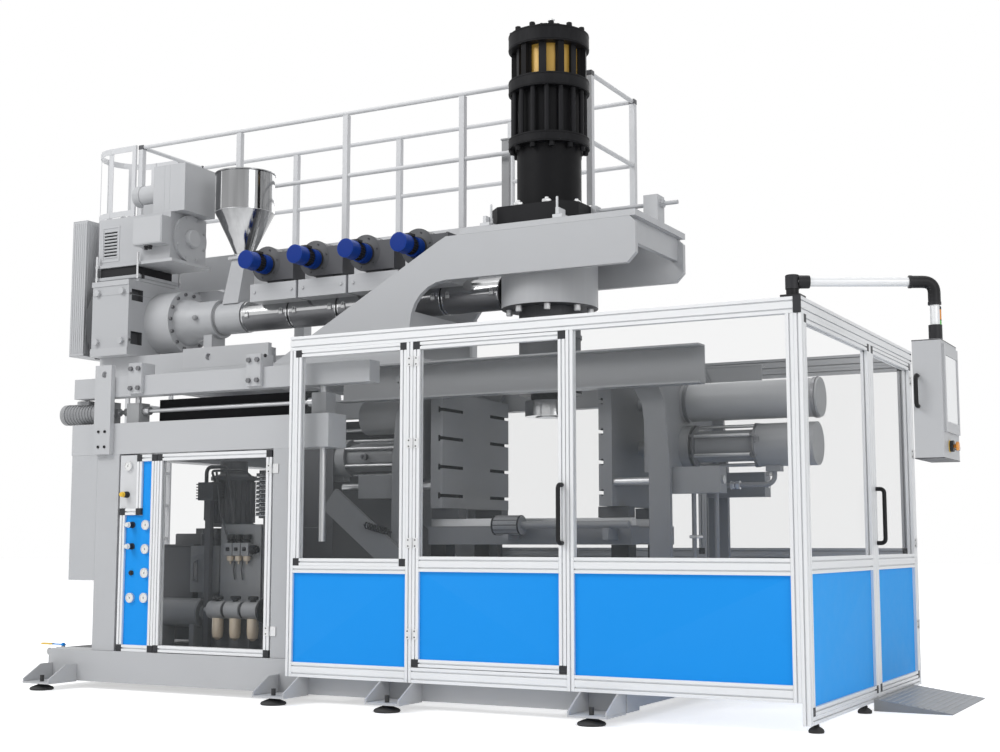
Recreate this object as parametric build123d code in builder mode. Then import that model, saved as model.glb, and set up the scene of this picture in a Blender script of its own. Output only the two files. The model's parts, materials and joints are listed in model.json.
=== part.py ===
from build123d import *
import os
from math import atan2, cos, degrees, radians, sin

os.makedirs("parts", exist_ok=True)

# Millimetres. +X runs along the machine towards the operator panel, +Y points away from the
# front, +Z is up. The origin is on the floor under the middle of the whole machine.

# Clearances
joint_gap = 0.4  # hairline between two bars that butt together
seat = 0.3  # between pieces that rest on or in each other
guide_gap = 2.0  # between the lifting platform and the plates that guide it
door_gap = 4.0  # round a door leaf
running = 0.05  # radial, between a shaft and its bore

# Slotted aluminium profile
profile = 45.0
slot_width = 8.0
slot_depth = 12.0
rail_high = 2 * profile
panel_thick = slot_width - 2 * seat
panel_grip = slot_depth - 2.0
corner_cut = 1.0  # notch of a panel at the corner pieces

# Safety guard
guard_left = -240.0
guard_right = 3100.0
guard_depth = 2600.0
guard_top = 2300.0
guard_foot = 165.0  # underside of the front and rear bottom rails
end_foot = 50.0  # underside of the end frame
post_a = 635.0  # left face of the post that carries the front door
post_b = 1709.0  # left face of the post that the front door closes on
rear_post = 1595.0
end_post = 130.0  # front face of the middle post in the end wall
waist = 820.0  # underside of the rails under the windows
left_waist = 805.0
end_waist = 828.0
handle_low = 990.0
handle_high = 1320.0
handle_reach = 50.0
handle_radius = 13.0

guard_front = -guard_depth / 2
guard_rear = guard_depth / 2
top_rail = (guard_top - rail_high, guard_top)
bottom_rail = (guard_foot, guard_foot + rail_high)

# Base frame
base_left = -2350.0
base_right = 2030.0
base_front = -1200.0
base_low = 50.0
base_top = 260.0
base_beam = 180.0
deck_thick = 6.0
outrigger_places = (-2200.0, -250.0, 580.0, 1905.0)
outrigger_wide = 240.0
outrigger_reach = 260.0
outrigger_plate = 12.0
outrigger_low = 44.0  # underside of the plate above a foot
outrigger_lip = 20.0
foot_reach = 200.0  # from the base beam to the centre of a foot
pad_radius = 80.0
pad_high = 36.0
stem_radius = 14.0
guard_pad_radius = 42.0

# Left frame that carries the lifting platform
column_front = -1180.0
column_deep = 150.0
left_column = (-1970.0, -1770.0)
right_column = (-450.0, -330.0)
beam_left = -2215.0
beam_right = -21.0
beam_deep = 200.0
beam_low = 1600.0
beam_top = 1815.0
lug = (-1976.0, -1827.0)
lug_thick = 40.0
lug_top = 2222.0
box_left = -2208.0
box_low = 734.0
rear_cover_x = (-1820.0, -30.0)

# Lift
lift_left = -1700.0
lift_right = -130.0
lift_y = -1080.0
shaft_z = 1900.0
jack_wide = 110.0
jack_high = 140.0
screw_radius = 21.0
screw_low = 1000.0
shaft_radius = 14.0
motor_radius = 68.0

# Lifting platform
platform_left = -2210.0
platform_right = 286.0
platform_low = 2000.0
platform_top = 2140.0
bridge_low = 2054.0
platform_deep = 120.0
carriage_top = 2270.0
clamp_places = (-1625.0, -606.0)
clamp_wide = 116.0
carriage_left = -2000.0
carriage_right = 120.0
spine_half = 60.0  # half the width of a longitudinal carriage beam
cheek_x = (-1830.0, -1045.0)  # side plates on the carriage
cheek_top = 2420.0
cheek_eye = (-1591.0, 2348.0)
cradle_left = -2820.0
cradle_right = -1200.0
cradle_top = 2425.0

# Extruder
axis_z = 2710.0
gearbox_x = (-2800.0, -2430.0)
gearbox_half = 420.0
gearbox_z = (2445.0, 3010.0)
flange_radius = 245.0
flange_right = -2190.0
shoulder_radius = 188.0
feed_radius = 148.0
feed_right = -1850.0
collar_radius = 122.0
drive_disc_radius = 410.0
barrel_left = -1590.0
zone_long = 440.0
zone_count = 4
cover_radius = 116.0
barrel_radius = 90.0
bore_radius = 62.0
melt_radius = 40.0
seam = 12.0
hopper_x = -1657.0
hopper_radius = 222.0
hopper_top = 3834.0
hopper_waist = 3521.0
hopper_low = 3175.0
hopper_outlet = 55.0  # radius of the cone's lower end
hopper_rim = 10.0
hopper_wall = 4.0
neck_lean = 60.0  # how far the neck leans towards the gearbox
throat_radius = 48.0
motor_x = (-2850.0, -2120.0)
motor_y = (-320.0, 100.0)
motor_z = (3160.0, 3530.0)
motor_plate = 24.0
motor_disc_radius = 195.0
fan_x = (-2320.0, -2005.0)
fan_top = 3905.0
fan_motor_z = 3735.0
guard_box_x = (-3100.0, -2950.0)
guard_box_y = (-350.0, 250.0)
guard_box_z = (2452.0, 3540.0)
duct_wide = 417.0
duct_shift = 103.0  # from a drum's axis to the middle of its duct
duct_front = -250.0
duct_z = (2772.0, 2902.0)
drum_radius = 130.0
drum_z = 3060.0
drum_y = (-200.0, -60.0)
drum_outlet = 250.0  # from a drum's axis to the end of its square outlet
fan_motor_radius = 68.0

# Gantry and extrusion head
head_x = 970.0
gantry_half = 437.0
gantry_plate = 40.0
gantry_top = 3095.0
gantry_right = 1790.0
gantry_left = 517.0
gantry_under = 2755.0
gantry_arch = 120.0  # x of the arch's straight side
gantry_toe = -1027.0
neck_radius = 210.0
body_radius = 330.0
body_low = 2570.0
neck_low = 1985.0
die_radius = 170.0
die_z = (1836.0, 1940.0)
pin_radius = 90.0
base_half = 330.0
base_chamfer = 100.0
base_high = 3240.0
stand_radius = 222.0
cylinder_radius = 215.0
flange_outer = 280.0
lower_flange = (3680.0, 3750.0)
middle_flange = (4070.0, 4157.0)
upper_flange = (4380.0, 4487.0)
ram_radius = 120.0
ram_top = 4360.0
ram_bottom = 3700.0
ram_stroke = 250.0
tie_count = 16
tie_circle = 247.0
tie_radius = 17.0
window_bar = 43.0
stud_count = 12

# Walkway and ladder
walk_front = 470.0
walk_rear = 1300.0
walk_left = -3188.0
walk_right = 1080.0
walk_z = (3050.0, 3330.0)
deck_z = 3230.0
side_plate = 8.0
rail_top = 4380.0
rail_middle = 3860.0
rail_radius = 17.0
rail_post = 45.0
rail_spans = 4
ladder_wide = 500.0
ladder_low = 300.0
rung_pitch = 280.0
rung_radius = 14.0
cage_reach = 560.0
cage_low = 2640.0
cage_band = 50.0
cage_strip = 6.0
hoop_count = 4

# Clamp
platen_reach = 568.0  # from the head's axis to a platen's face
platen_thick = 90.0
platen_half = 468.0
platen_z = (1220.0, 1990.0)
slot_z = (1303.0, 1494.0, 1685.0, 1876.0)
platen_slot = 18.0
slot_inner = 192.0  # the slots stop this far from the middle
slot_mouth = 22.0
clamp_z = 1600.0
yoke_plate = 40.0
yoke_half = 540.0
yoke_band = 137.0
yoke_reach = {1: 933.0, -1: 783.0}  # from the head's axis to the yoke's inner edge
tube_long = {1: 417.0, -1: 707.0}
yoke_top = 2180.0
yoke_lean = 212.0
channel_high = 240.0
channel_deep = 110.0
channel_wall = 12.0
channel_reach = 1308.0
head_radius = 137.0
head_long = 120.0
head_back = 100.0
rod_radius = 45.0
tube_radius = 100.0
tube_bore = 88.0
cap_long = {1: 386.0, -1: 233.0}
upper_z = 1885.0
upper_radius = 122.0
upper_rod = 40.0
upper_long = {1: 890.0, -1: 650.0}
tie_bar = 11.0
tie_bar_circle = 122.0
rail_z = (1100.0, 1150.0)
rail_y = 300.0
bed_z = (980.0, 1100.0)
side_cylinder_x = (800.0, 1000.0)
side_cylinder_y = -470.0
side_cylinder_z = 1104.0

# Control strip and cabinet door
strip_left = -1745.0
strip_panel = 228.0
step_left = -1604.0
step_z = 1180.0
cabinet_z = (base_top + seat, 1590.0)
cabinet_front = -1185.0
door_right = -458.0
gauge_radius = 33.0
gauge_deep = 18.0
knob_radius = 19.0
knob_long = 52.0
button_radius = 11.0

# Operator panel and its arm
arm_x = 3040.0
arm_y = -1250.0
arm_z = 2385.0
arm_long = 760.0
arm_turn = 28.0
arm_radius = 25.0
drop_low = 2150.0
panel_deep = 150.0
panel_wide = 400.0
panel_z = (1425.0, 2050.0)

ramp_y = (0.0, 1030.0)
ramp_x = (guard_right + seat, 3555.0)
ramp_high = 70.0


def block(x, y, z, mode=Mode.ADD):
    """Fill the box between the low and high values of x, y and z."""
    centre = ((x[0] + x[1]) / 2, (y[0] + y[1]) / 2, (z[0] + z[1]) / 2)
    with Locations(centre):
        Box(x[1] - x[0], y[1] - y[0], z[1] - z[0], mode=mode)


def rod_x(x, y, z, radius, mode=Mode.ADD):
    """A round bar along X between two values of x."""
    with Locations(((x[0] + x[1]) / 2, y, z)):
        Cylinder(radius, x[1] - x[0], rotation=(0, 90, 0), mode=mode)


def rod_y(x, y, z, radius, mode=Mode.ADD):
    """A round bar along Y between two values of y."""
    with Locations((x, (y[0] + y[1]) / 2, z)):
        Cylinder(radius, y[1] - y[0], rotation=(90, 0, 0), mode=mode)


def rod_z(x, y, z, radius, mode=Mode.ADD):
    """An upright round bar between two values of z."""
    with Locations((x, y, (z[0] + z[1]) / 2)):
        Cylinder(radius, z[1] - z[0], mode=mode)


def both(value):
    """The same distance on the front and on the rear side."""
    return (-value, value)


def ordered(a, b):
    """Two values, the lower one first."""
    return (min(a, b), max(a, b))


def slotted_bar(x, y, z, along):
    """A slotted profile that fills the box, with its slots running along one axis."""
    middle = [(x[0] + x[1]) / 2, (y[0] + y[1]) / 2, (z[0] + z[1]) / 2]
    sizes = {"x": x[1] - x[0], "y": y[1] - y[0], "z": z[1] - z[0]}
    if along == "x":
        section = Plane((x[0], middle[1], middle[2]), x_dir=(0, 1, 0), z_dir=(1, 0, 0))
        wide, high = sizes["y"], sizes["z"]
    elif along == "y":
        section = Plane((middle[0], y[0], middle[2]), x_dir=(1, 0, 0), z_dir=(0, 1, 0))
        wide, high = sizes["x"], sizes["z"]
    else:
        section = Plane((middle[0], middle[1], z[0]), x_dir=(1, 0, 0), z_dir=(0, 0, 1))
        wide, high = sizes["x"], sizes["y"]
    with BuildSketch(section) as outline:
        Rectangle(wide, high)
        with GridLocations(profile, high, round(wide / profile), 2):
            Rectangle(slot_width, 2 * slot_depth, mode=Mode.SUBTRACT)
        with GridLocations(wide, profile, 2, round(high / profile)):
            Rectangle(2 * slot_depth, slot_width, mode=Mode.SUBTRACT)
    extrude(outline.sketch, amount=sizes[along])


def front_wall(u, w, thick=profile):
    """A box in the guard's front wall, u along X and w up."""
    middle = guard_front + profile / 2
    return u, (middle - thick / 2, middle + thick / 2), w


def rear_wall(u, w, thick=profile):
    """A box in the guard's rear wall, u along X and w up."""
    middle = guard_rear - profile / 2
    return u, (middle - thick / 2, middle + thick / 2), w


def end_wall(u, w, thick=profile):
    """A box in the guard's end wall, u along Y and w up."""
    middle = guard_right - profile / 2
    return (middle - thick / 2, middle + thick / 2), u, w


def cabinet_wall(u, w, thick=profile):
    """A box in the wall of the control strip and the cabinet door."""
    middle = cabinet_front + profile / 2
    return u, (middle - thick / 2, middle + thick / 2), w


def leaf_bars(wall, across, u, w, rails=()):
    """Stiles and rails of a framed leaf, butting against its corner pieces."""
    inner = profile + joint_gap
    stile = (w[0] + inner, w[1] - inner)
    for left in (u[0], u[1] - profile):
        slotted_bar(*wall((left, left + profile), stile), "z")
    for low in (w[0], w[1] - profile):
        slotted_bar(*wall((u[0] + inner, u[1] - inner), (low, low + profile)), across)
    for rail in rails:
        slotted_bar(*wall((u[0] + inner, u[1] - inner), rail), across)


def leaf_corners(wall, u, w):
    """The four moulded corner pieces of a framed leaf."""
    for left in (u[0], u[1] - profile):
        for low in (w[0], w[1] - profile):
            block(*wall((left, left + profile), (low, low + profile)))


def sheet(wall, u, w):
    """A panel held in the slots of the bars round the opening u by w."""
    block(
        *wall((u[0] - panel_grip, u[1] + panel_grip), (w[0] + corner_cut, w[1] - corner_cut), panel_thick)
    )
    block(
        *wall((u[0] + corner_cut, u[1] - corner_cut), (w[0] - panel_grip, w[1] + panel_grip), panel_thick)
    )


def keep(made, label):
    """Name a finished piece and write it."""
    made.part.label = label
    export_step(made.part, f"parts/{label}.step")


# Openings of the guard, from bar to bar
post_a_x = (post_a, post_a + profile)
post_b_x = (post_b, post_b + profile)
front_end_x = (guard_right - 2 * profile - joint_gap, guard_right - profile - joint_gap)
left_post_x = (guard_left, guard_left + profile)
left_bay = (left_post_x[1], post_a_x[0])
door_bay = (post_a_x[1], post_b_x[0])
right_bay = (post_b_x[1], front_end_x[0])
waist_rail = (waist, waist + rail_high)
left_waist_rail = (left_waist, left_waist + profile)
upright_z = (bottom_rail[0], top_rail[0] - joint_gap)
rear_post_x = (rear_post, rear_post + 2 * profile)
rear_bays = ((left_post_x[1], rear_post_x[0]), (rear_post_x[1], guard_right - profile))
end_bottom = (end_foot, end_foot + profile)
end_post_y = (end_post, end_post + profile)
end_bays = (
    (guard_front + profile, end_post_y[0]),
    (end_post_y[1], guard_rear - profile),
)
end_waist_rail = (end_waist, end_waist + rail_high)


def inside(span, gap=joint_gap):
    """A span shortened by a gap at both ends."""
    return (span[0] + gap, span[1] - gap)


# Leaves of the guard: the fixed window at the left and the fixed leaf in the end wall, the
# windows at the rear and the two doors
left_leaf = (inside(left_bay), (left_waist_rail[1] + joint_gap, top_rail[0] - joint_gap))
end_leaf = (inside(end_bays[0]), (end_bottom[1] + joint_gap, top_rail[0] - joint_gap))
rear_leaves = [(inside(bay), (waist_rail[1] + joint_gap, top_rail[0] - joint_gap)) for bay in rear_bays]
door_leaf = (inside(door_bay, door_gap), (bottom_rail[1] + door_gap, top_rail[0] - door_gap))
end_door_leaf = (inside(end_bays[1], door_gap), (end_bottom[1] + door_gap, top_rail[0] - door_gap))

with BuildPart() as guard_frame:
    # Front wall
    for post in (left_post_x, post_a_x, post_b_x, front_end_x):
        slotted_bar(*front_wall(post, upright_z), "z")
    slotted_bar(*front_wall((guard_left, guard_right - profile - joint_gap), top_rail), "x")
    for bay in (left_bay, door_bay, right_bay):
        slotted_bar(*front_wall(inside(bay), bottom_rail), "x")
    slotted_bar(*front_wall(inside(left_bay), left_waist_rail), "x")
    slotted_bar(*front_wall(inside(right_bay), waist_rail), "x")
    leaf_bars(front_wall, "x", *left_leaf)
    # Rear wall
    for post in (left_post_x, rear_post_x):
        slotted_bar(*rear_wall(post, upright_z), "z")
    slotted_bar(*rear_wall((guard_left, guard_right - profile - joint_gap), top_rail), "x")
    for bay, leaf in zip(rear_bays, rear_leaves):
        slotted_bar(*rear_wall(inside(bay), bottom_rail), "x")
        slotted_bar(*rear_wall(inside(bay), waist_rail), "x")
        leaf_bars(rear_wall, "x", *leaf)
    # End wall
    for low in (guard_front, end_post, guard_rear - profile):
        slotted_bar(*end_wall((low, low + profile), (end_foot, top_rail[0] - joint_gap)), "z")
    slotted_bar(*end_wall((guard_front, guard_rear), top_rail), "y")
    for bay in end_bays:
        slotted_bar(*end_wall(inside(bay), end_bottom), "y")
    leaf_bars(end_wall, "y", *end_leaf, rails=[end_waist_rail])
keep(guard_frame, "guard_frame")


def leaf_opening(leaf, low=None, high=None):
    """The clear opening of a framed leaf, between the given heights or its own rails."""
    u, w = leaf
    bottom = w[0] + profile if low is None else low
    top = w[1] - profile if high is None else high
    return (u[0] + profile, u[1] - profile), (bottom, top)


with BuildPart() as guard_windows:
    sheet(front_wall, *leaf_opening(left_leaf))
    sheet(front_wall, right_bay, (waist_rail[1], top_rail[0]))
    for leaf in rear_leaves:
        sheet(rear_wall, *leaf_opening(leaf))
    sheet(end_wall, *leaf_opening(end_leaf, low=end_waist_rail[1]))
keep(guard_windows, "guard_windows")


# Strip frame left of the cabinet door: a tall narrow frame with a step at its upper left
strip_inner = strip_left + profile
strip_right = strip_inner + strip_panel + profile
step_right = step_left + profile
cap_deep = 4.0


def bent_handle(plane, reach, length, radius, bend):
    """A bar handle: two legs and a grip in one bent rod, drawn in the plane's X (out) and Y (along)."""
    with BuildLine(plane) as path:
        FilletPolyline((0, 0), (reach, 0), (reach, length), (0, length), radius=bend)
    with BuildSketch(Plane(plane.origin, x_dir=plane.y_dir, z_dir=plane.x_dir)) as section:
        Circle(radius)
    sweep(section.sketch, path=path.line)


def knuckle(pin, tab, z):
    """One half of a hinge barrel round the pin, with the tab that joins it to its leaf."""
    rod_z(*pin, z, knuckle_radius)
    block(ordered(pin[0], pin[0] + tab[0]), ordered(pin[1], pin[1] + tab[1]), z)


knuckle_radius = 5.0
front_hinge = (post_a_x[1] + door_gap / 2, guard_front - 7.0)
end_hinge = (guard_right + 7.0, guard_rear - profile - door_gap / 2)
hinge_high = 60.0
hinge_z = (420.0, 960.0, 1560.0, 2060.0)
leaf_thick = 1.6

with BuildPart() as front_door_window:
    sheet(front_wall, *leaf_opening(door_leaf, low=waist_rail[1]))
keep(front_door_window, "front_door_window")

with BuildPart() as front_door_panel:
    sheet(front_wall, *leaf_opening(door_leaf, high=waist_rail[0]))
keep(front_door_panel, "front_door_panel")

front_handle_x = door_leaf[0][1] - profile / 2
with BuildPart() as front_door_frame:
    leaf_bars(front_wall, "x", *door_leaf, rails=[waist_rail])
    leaf_corners(front_wall, *door_leaf)
    bent_handle(
        Plane((front_handle_x, guard_front - seat, handle_low), x_dir=(0, -1, 0), z_dir=(-1, 0, 0)),
        handle_reach, handle_high - handle_low, handle_radius, 2 * handle_radius,
    )
    for z in hinge_z:
        block(
            (door_leaf[0][0] + 2, door_leaf[0][0] + 40),
            (guard_front - seat - leaf_thick, guard_front - seat),
            (z, z + hinge_high),
        )
        knuckle(front_hinge, (5, 7), (z + hinge_high / 2 + seat, z + hinge_high))
keep(front_door_frame, "front_door_frame")

with BuildPart() as end_door_window:
    sheet(end_wall, *leaf_opening(end_door_leaf, low=end_waist_rail[1]))
keep(end_door_window, "end_door_window")

with BuildPart() as end_door_panel:
    sheet(end_wall, *leaf_opening(end_door_leaf, high=end_waist_rail[0]))
keep(end_door_panel, "end_door_panel")

end_handle_y = end_door_leaf[0][0] + profile / 2
with BuildPart() as end_door_frame:
    leaf_bars(end_wall, "y", *end_door_leaf, rails=[end_waist_rail])
    leaf_corners(end_wall, *end_door_leaf)
    bent_handle(
        Plane((guard_right + seat, end_handle_y, handle_low), x_dir=(1, 0, 0), z_dir=(0, -1, 0)),
        handle_reach, handle_high - handle_low, handle_radius, 2 * handle_radius,
    )
    for z in hinge_z:
        block(
            (guard_right + seat, guard_right + seat + leaf_thick),
            (end_door_leaf[0][1] - 40, end_door_leaf[0][1] - 2),
            (z, z + hinge_high),
        )
        knuckle(end_hinge, (-7, -5), (z + hinge_high / 2 + seat, z + hinge_high))
keep(end_door_frame, "end_door_frame")


def side_span(side, inner, outer):
    """Values of y between two distances from the middle, at the front (-1) or the rear (1)."""
    return ordered(side * inner, side * outer)


def hexagon(plane, flats, high):
    """A hexagonal nut or bolt head that stands on a plane."""
    with BuildSketch(plane) as outline:
        RegularPolygon(flats / 2, 6, major_radius=False)
    extrude(outline.sketch, amount=high)


def outline_xz(points, y, mode=Mode.ADD):
    """A plate with the given outline in X and Z, between two values of y."""
    with BuildSketch(Plane((0, y[1], 0), x_dir=(1, 0, 0), z_dir=(0, -1, 0))) as outline:
        Polygon(*points, align=None)
    extrude(outline.sketch, amount=y[1] - y[0], mode=mode)


def turned(x, y, points):
    """A body turned about the upright axis at x and y, from radius and height pairs."""
    with BuildSketch(Plane((x, y, 0), x_dir=(1, 0, 0), z_dir=(0, -1, 0))) as outline:
        Polygon(*points, align=None)
    revolve(outline.sketch, axis=Axis((x, y, 0), (0, 0, 1)))


def pipe(points, radius, bend):
    """A round bar or pipe along a bent line."""
    with BuildLine() as path:
        FilletPolyline(*points, radius=bend)
    start = Vector(*points[0])
    way = (Vector(*points[1]) - start).normalized()
    with BuildSketch(Plane(start, z_dir=way)) as section:
        Circle(radius)
    sweep(section.sketch, path=path.line)


# Hinge leaves that stay on the guard and on the column
cabinet_hinge = (door_right + door_gap / 2, cabinet_front - 7.0)
cabinet_hinge_z = (400.0, 1440.0)

# Base frame
base_spans = [side_span(side, -base_front - base_beam, -base_front) for side in (-1, 1)]
cross_places = (-2250.0, -1870.0, -390.0, 118.0, 318.0, 1622.0, 1938.0)
cross_half = 90.0
deck_right = -295.0
end_plate = 9.6
outrigger_tip = -base_front + outrigger_reach
outrigger_top = guard_foot - seat
foot_places = [(x, side * (-base_front + foot_reach)) for x in outrigger_places for side in (-1, 1)]

with BuildPart() as base_frame:
    for span in base_spans:
        block((base_left, base_right), span, (base_low, base_top))
    for x in cross_places:
        top = base_top if x > deck_right else base_top - deck_thick - joint_gap
        block((x - cross_half, x + cross_half), both(base_spans[1][0] - joint_gap), (base_low + 20, top))
    # Deck under the control cabinet, and the plate that closes the left end
    deck_x = (base_left + end_plate + joint_gap, deck_right)
    block(deck_x, both(base_spans[1][0] - joint_gap), (base_top - deck_thick, base_top))
    block((base_left, base_left + end_plate), both(base_spans[1][0] - joint_gap), (base_low, base_top))
    # Outriggers: two gussets that the guard rests on, and a plate above the foot
    for x in outrigger_places:
        for side in (-1, 1):
            root = side * (-base_front + joint_gap)
            tip = side * outrigger_tip
            half = outrigger_wide / 2
            plate_top = outrigger_low + outrigger_plate
            with BuildSketch(Plane((x - half, 0, 0), x_dir=(0, 1, 0), z_dir=(1, 0, 0))) as gusset:
                Polygon(
                    (root, plate_top + joint_gap),
                    (tip, plate_top + joint_gap),
                    (tip, plate_top + outrigger_lip),
                    (side * (guard_rear + cap_deep), outrigger_top),
                    (root, outrigger_top),
                    align=None,
                )
            extrude(gusset.sketch, amount=outrigger_plate)
            with Locations((2 * half - outrigger_plate, 0, 0)):
                add(extrude(gusset.sketch, amount=outrigger_plate, mode=Mode.PRIVATE))
            block((x - half, x + half), ordered(root, tip), (outrigger_low, plate_top))
            rod_z(x, side * (-base_front + foot_reach), (0, base_top), stem_radius + 1, mode=Mode.SUBTRACT)
keep(base_frame, "base_frame")

guard_pads = [(guard_right - profile / 2, y) for y in (-1130.0, -125.0, 1130.0)]
with BuildPart() as levelling_feet:
    for x, y in foot_places:
        rod_z(x, y, (0, pad_high), pad_radius)
        rod_z(x, y, (pad_high, plate_top + 3 * stem_radius), stem_radius)
        hexagon(Plane((x, y, plate_top + seat)), 2.6 * stem_radius, stem_radius)
    for x, y in guard_pads:
        rod_z(x, y, (0, pad_high), guard_pad_radius)
        rod_z(x, y, (pad_high, end_foot - seat), stem_radius)
keep(levelling_feet, "levelling_feet")

# Columns and lower beams of the lift
cross_y = -column_front - beam_deep - joint_gap
lug_eye = ((lug[0] + lug[1]) / 2 + 10, lug_top - 66)
column_span = {side: side_span(side, -column_front - column_deep, -column_front) for side in (-1, 1)}
beam_span = {side: side_span(side, -column_front - beam_deep, -column_front) for side in (-1, 1)}
jack_places = [(x, side * -lift_y) for x in (lift_left, lift_right) for side in (-1, 1)]

with BuildPart() as column_frame:
    for side in (-1, 1):
        for column in (left_column, right_column):
            block(column, column_span[side], (base_top + seat, beam_low - joint_gap))
        block((beam_left, beam_right), beam_span[side], (beam_low, beam_top))
        block(lug, side_span(side, -column_front + seat, -column_front + lug_thick), (beam_low, lug_top))
    block((beam_left, beam_left + beam_deep), both(cross_y), (beam_low, beam_top))
    for x, y in jack_places:
        rod_z(x, y, (beam_low - 1, beam_top + 1), screw_radius + guide_gap, mode=Mode.SUBTRACT)
    for side in (-1, 1):
        rod_y(
            lug_eye[0],
            side_span(side, -column_front, -column_front + 2 * lug_thick),
            lug_eye[1],
            24.0,
            mode=Mode.SUBTRACT,
        )
    block(
        (box_left, left_column[0] - joint_gap),
        side_span(-1, -column_front - column_deep, -column_front),
        (box_low, beam_low - joint_gap),
    )
    # Cover between the jacks at the front, and the rear cover
    block(
        (lift_left + jack_wide, lift_right - jack_wide),
        (column_front + beam_deep - 6, column_front + beam_deep - 2),
        (beam_top + joint_gap, platform_low - 15),
    )
    block(
        rear_cover_x,
        (-column_front + joint_gap, -column_front + 4),
        (base_top + seat, platform_low - 15),
    )
keep(column_frame, "column_frame")

# Jacks, lift motors and shafts
jack_z = (beam_top + seat, beam_top + seat + jack_high)
coupling_gap = 5.0
with BuildPart() as lift_drive:
    for x, y in jack_places:
        half = jack_wide / 2
        block((x - half, x + half), (y - half, y + half), jack_z)
        rod_z(x, y, (beam_top, jack_z[1] + 1), screw_radius + running, mode=Mode.SUBTRACT)
    for side in (-1, 1):
        y = side * -lift_y
        block((-2030.0, -1920.0), (y - 62, y + 62), (beam_top + seat, shaft_z + 75))
        rod_x((-2330.0, -2030.0), y, shaft_z, motor_radius)
        rod_x((-2369.0, -2330.0), y, shaft_z, motor_radius + 6)
keep(lift_drive, "lift_drive")

for side, label in ((-1, "front_lift_shaft"), (1, "rear_lift_shaft")):
    with BuildPart() as lift_shaft:
        spans = (
            (-1920.0 + seat, lift_left - jack_wide / 2 - seat),
            (lift_left + jack_wide / 2 + seat, lift_right - jack_wide / 2 - seat),
        )
        for span in spans:
            rod_x(span, side * -lift_y, shaft_z, shaft_radius)
            for end in (span[0] + coupling_gap, span[1] - coupling_gap - 50):
                rod_x((end, end + 50), side * -lift_y, shaft_z, shaft_radius + 14)
    keep(lift_shaft, label)

# Lifting platform
platform_span = {
    side: side_span(side, -column_front - platform_deep, -column_front - guide_gap) for side in (-1, 1)
}
platform_inner = -column_front - platform_deep - joint_gap

clamp_front = -column_front - guide_gap + joint_gap
clamp_out = clamp_front + 28.0

with BuildPart() as jack_screws:
    for x, y in jack_places:
        rod_z(x, y, (screw_low, platform_low - seat), screw_radius)
keep(jack_screws, "jack_screws")

spine_z = (platform_top + seat, carriage_top)
cradle_z = (carriage_top + seat, cradle_top)
spine_y = gantry_half - gantry_plate / 2
with BuildPart() as lifting_platform:
    for side in (-1, 1):
        block((platform_left, platform_right), platform_span[side], (platform_low, platform_top))
    for x in clamp_places:
        half = clamp_wide / 2
        block((x - half, x + half), both(platform_inner), (bridge_low, platform_top))
    for x in clamp_places:
        for side in (-1, 1):
            half = clamp_wide / 2
            block(
                (x - half, x + half),
                side_span(side, clamp_front, clamp_out),
                (platform_low + 12, 2225.0),
            )
            block(
                (x - half, x + half),
                side_span(side, clamp_front - 110, clamp_front - joint_gap),
                (platform_top + joint_gap, 2225.0),
            )
            for dx in (-34, 34):
                for z in (2050.0, 2185.0):
                    hexagon(
                        Plane((x + dx, side * (clamp_out + seat), z), x_dir=(1, 0, 0), z_dir=(0, side, 0)),
                        30.0,
                        18.0,
                    )
    for side in (-1, 1):
        block(
            (carriage_left, carriage_right),
            side_span(side, spine_y - spine_half, spine_y + spine_half),
            spine_z,
        )
        block((cradle_left, cradle_right), side_span(side, 180.0, 180.0 + 2 * spine_half), cradle_z)
    for x in (-1940.0, -1240.0, -700.0, 20.0):
        block((x - spine_half, x + spine_half), both(spine_y - spine_half - joint_gap), spine_z)
    for x in (cradle_left + spine_half, -2360.0, -1700.0):
        block((x - spine_half, x + spine_half), both(180.0 - joint_gap), cradle_z)
    for side in (-1, 1):
        block(
            cheek_x,
            side_span(side, spine_y + 20, spine_y + spine_half),
            (carriage_top + joint_gap, cheek_top),
        )
        rod_y(
            cheek_eye[0],
            side_span(side, spine_y, spine_y + 2 * spine_half),
            cheek_eye[1],
            26.0,
            mode=Mode.SUBTRACT,
        )
keep(lifting_platform, "lifting_platform")

# Gearbox with its pockets and bolts
gearbox_top = gearbox_z[1]
gearbox_lip = 6.0

pulley_x = (guard_box_x[0] + 25, guard_box_x[1] - 20)
motor_axis = (sum(motor_y) / 2, sum(motor_z) / 2)
with BuildPart() as gearbox_pulley:
    rod_x(pulley_x, 0, axis_z, 165.0)
    rod_x((pulley_x[1] - 1, gearbox_x[0] + 55), 0, axis_z, 40.0)
keep(gearbox_pulley, "gearbox_pulley")

with BuildPart() as motor_pulley:
    rod_x(pulley_x, *motor_axis, 95.0)
    rod_x((pulley_x[1] - 1, motor_x[0] + 60), *motor_axis, 30.0)
keep(motor_pulley, "motor_pulley")

guard_wall = 4.0

with BuildPart() as belt_guard:
    wall = guard_wall + joint_gap
    inner_y = (guard_box_y[0] + wall, guard_box_y[1] - wall)
    inner_z = (guard_box_z[0] + wall, guard_box_z[1] - wall)
    for low in (guard_box_x[0], guard_box_x[1] - guard_wall):
        block((low, low + guard_wall), inner_y, inner_z)
    for low in (guard_box_y[0], guard_box_y[1] - guard_wall):
        block(guard_box_x, (low, low + guard_wall), inner_z)
    for low in (guard_box_z[0], guard_box_z[1] - guard_wall):
        block(guard_box_x, guard_box_y, (low, low + guard_wall))
    rod_x((guard_box_x[1] - 2 * guard_wall, guard_box_x[1] + 1), 0, axis_z, 60.0, mode=Mode.SUBTRACT)
    rod_x((guard_box_x[1] - 2 * guard_wall, guard_box_x[1] + 1), *motor_axis, 60.0, mode=Mode.SUBTRACT)
keep(belt_guard, "belt_guard")

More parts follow.
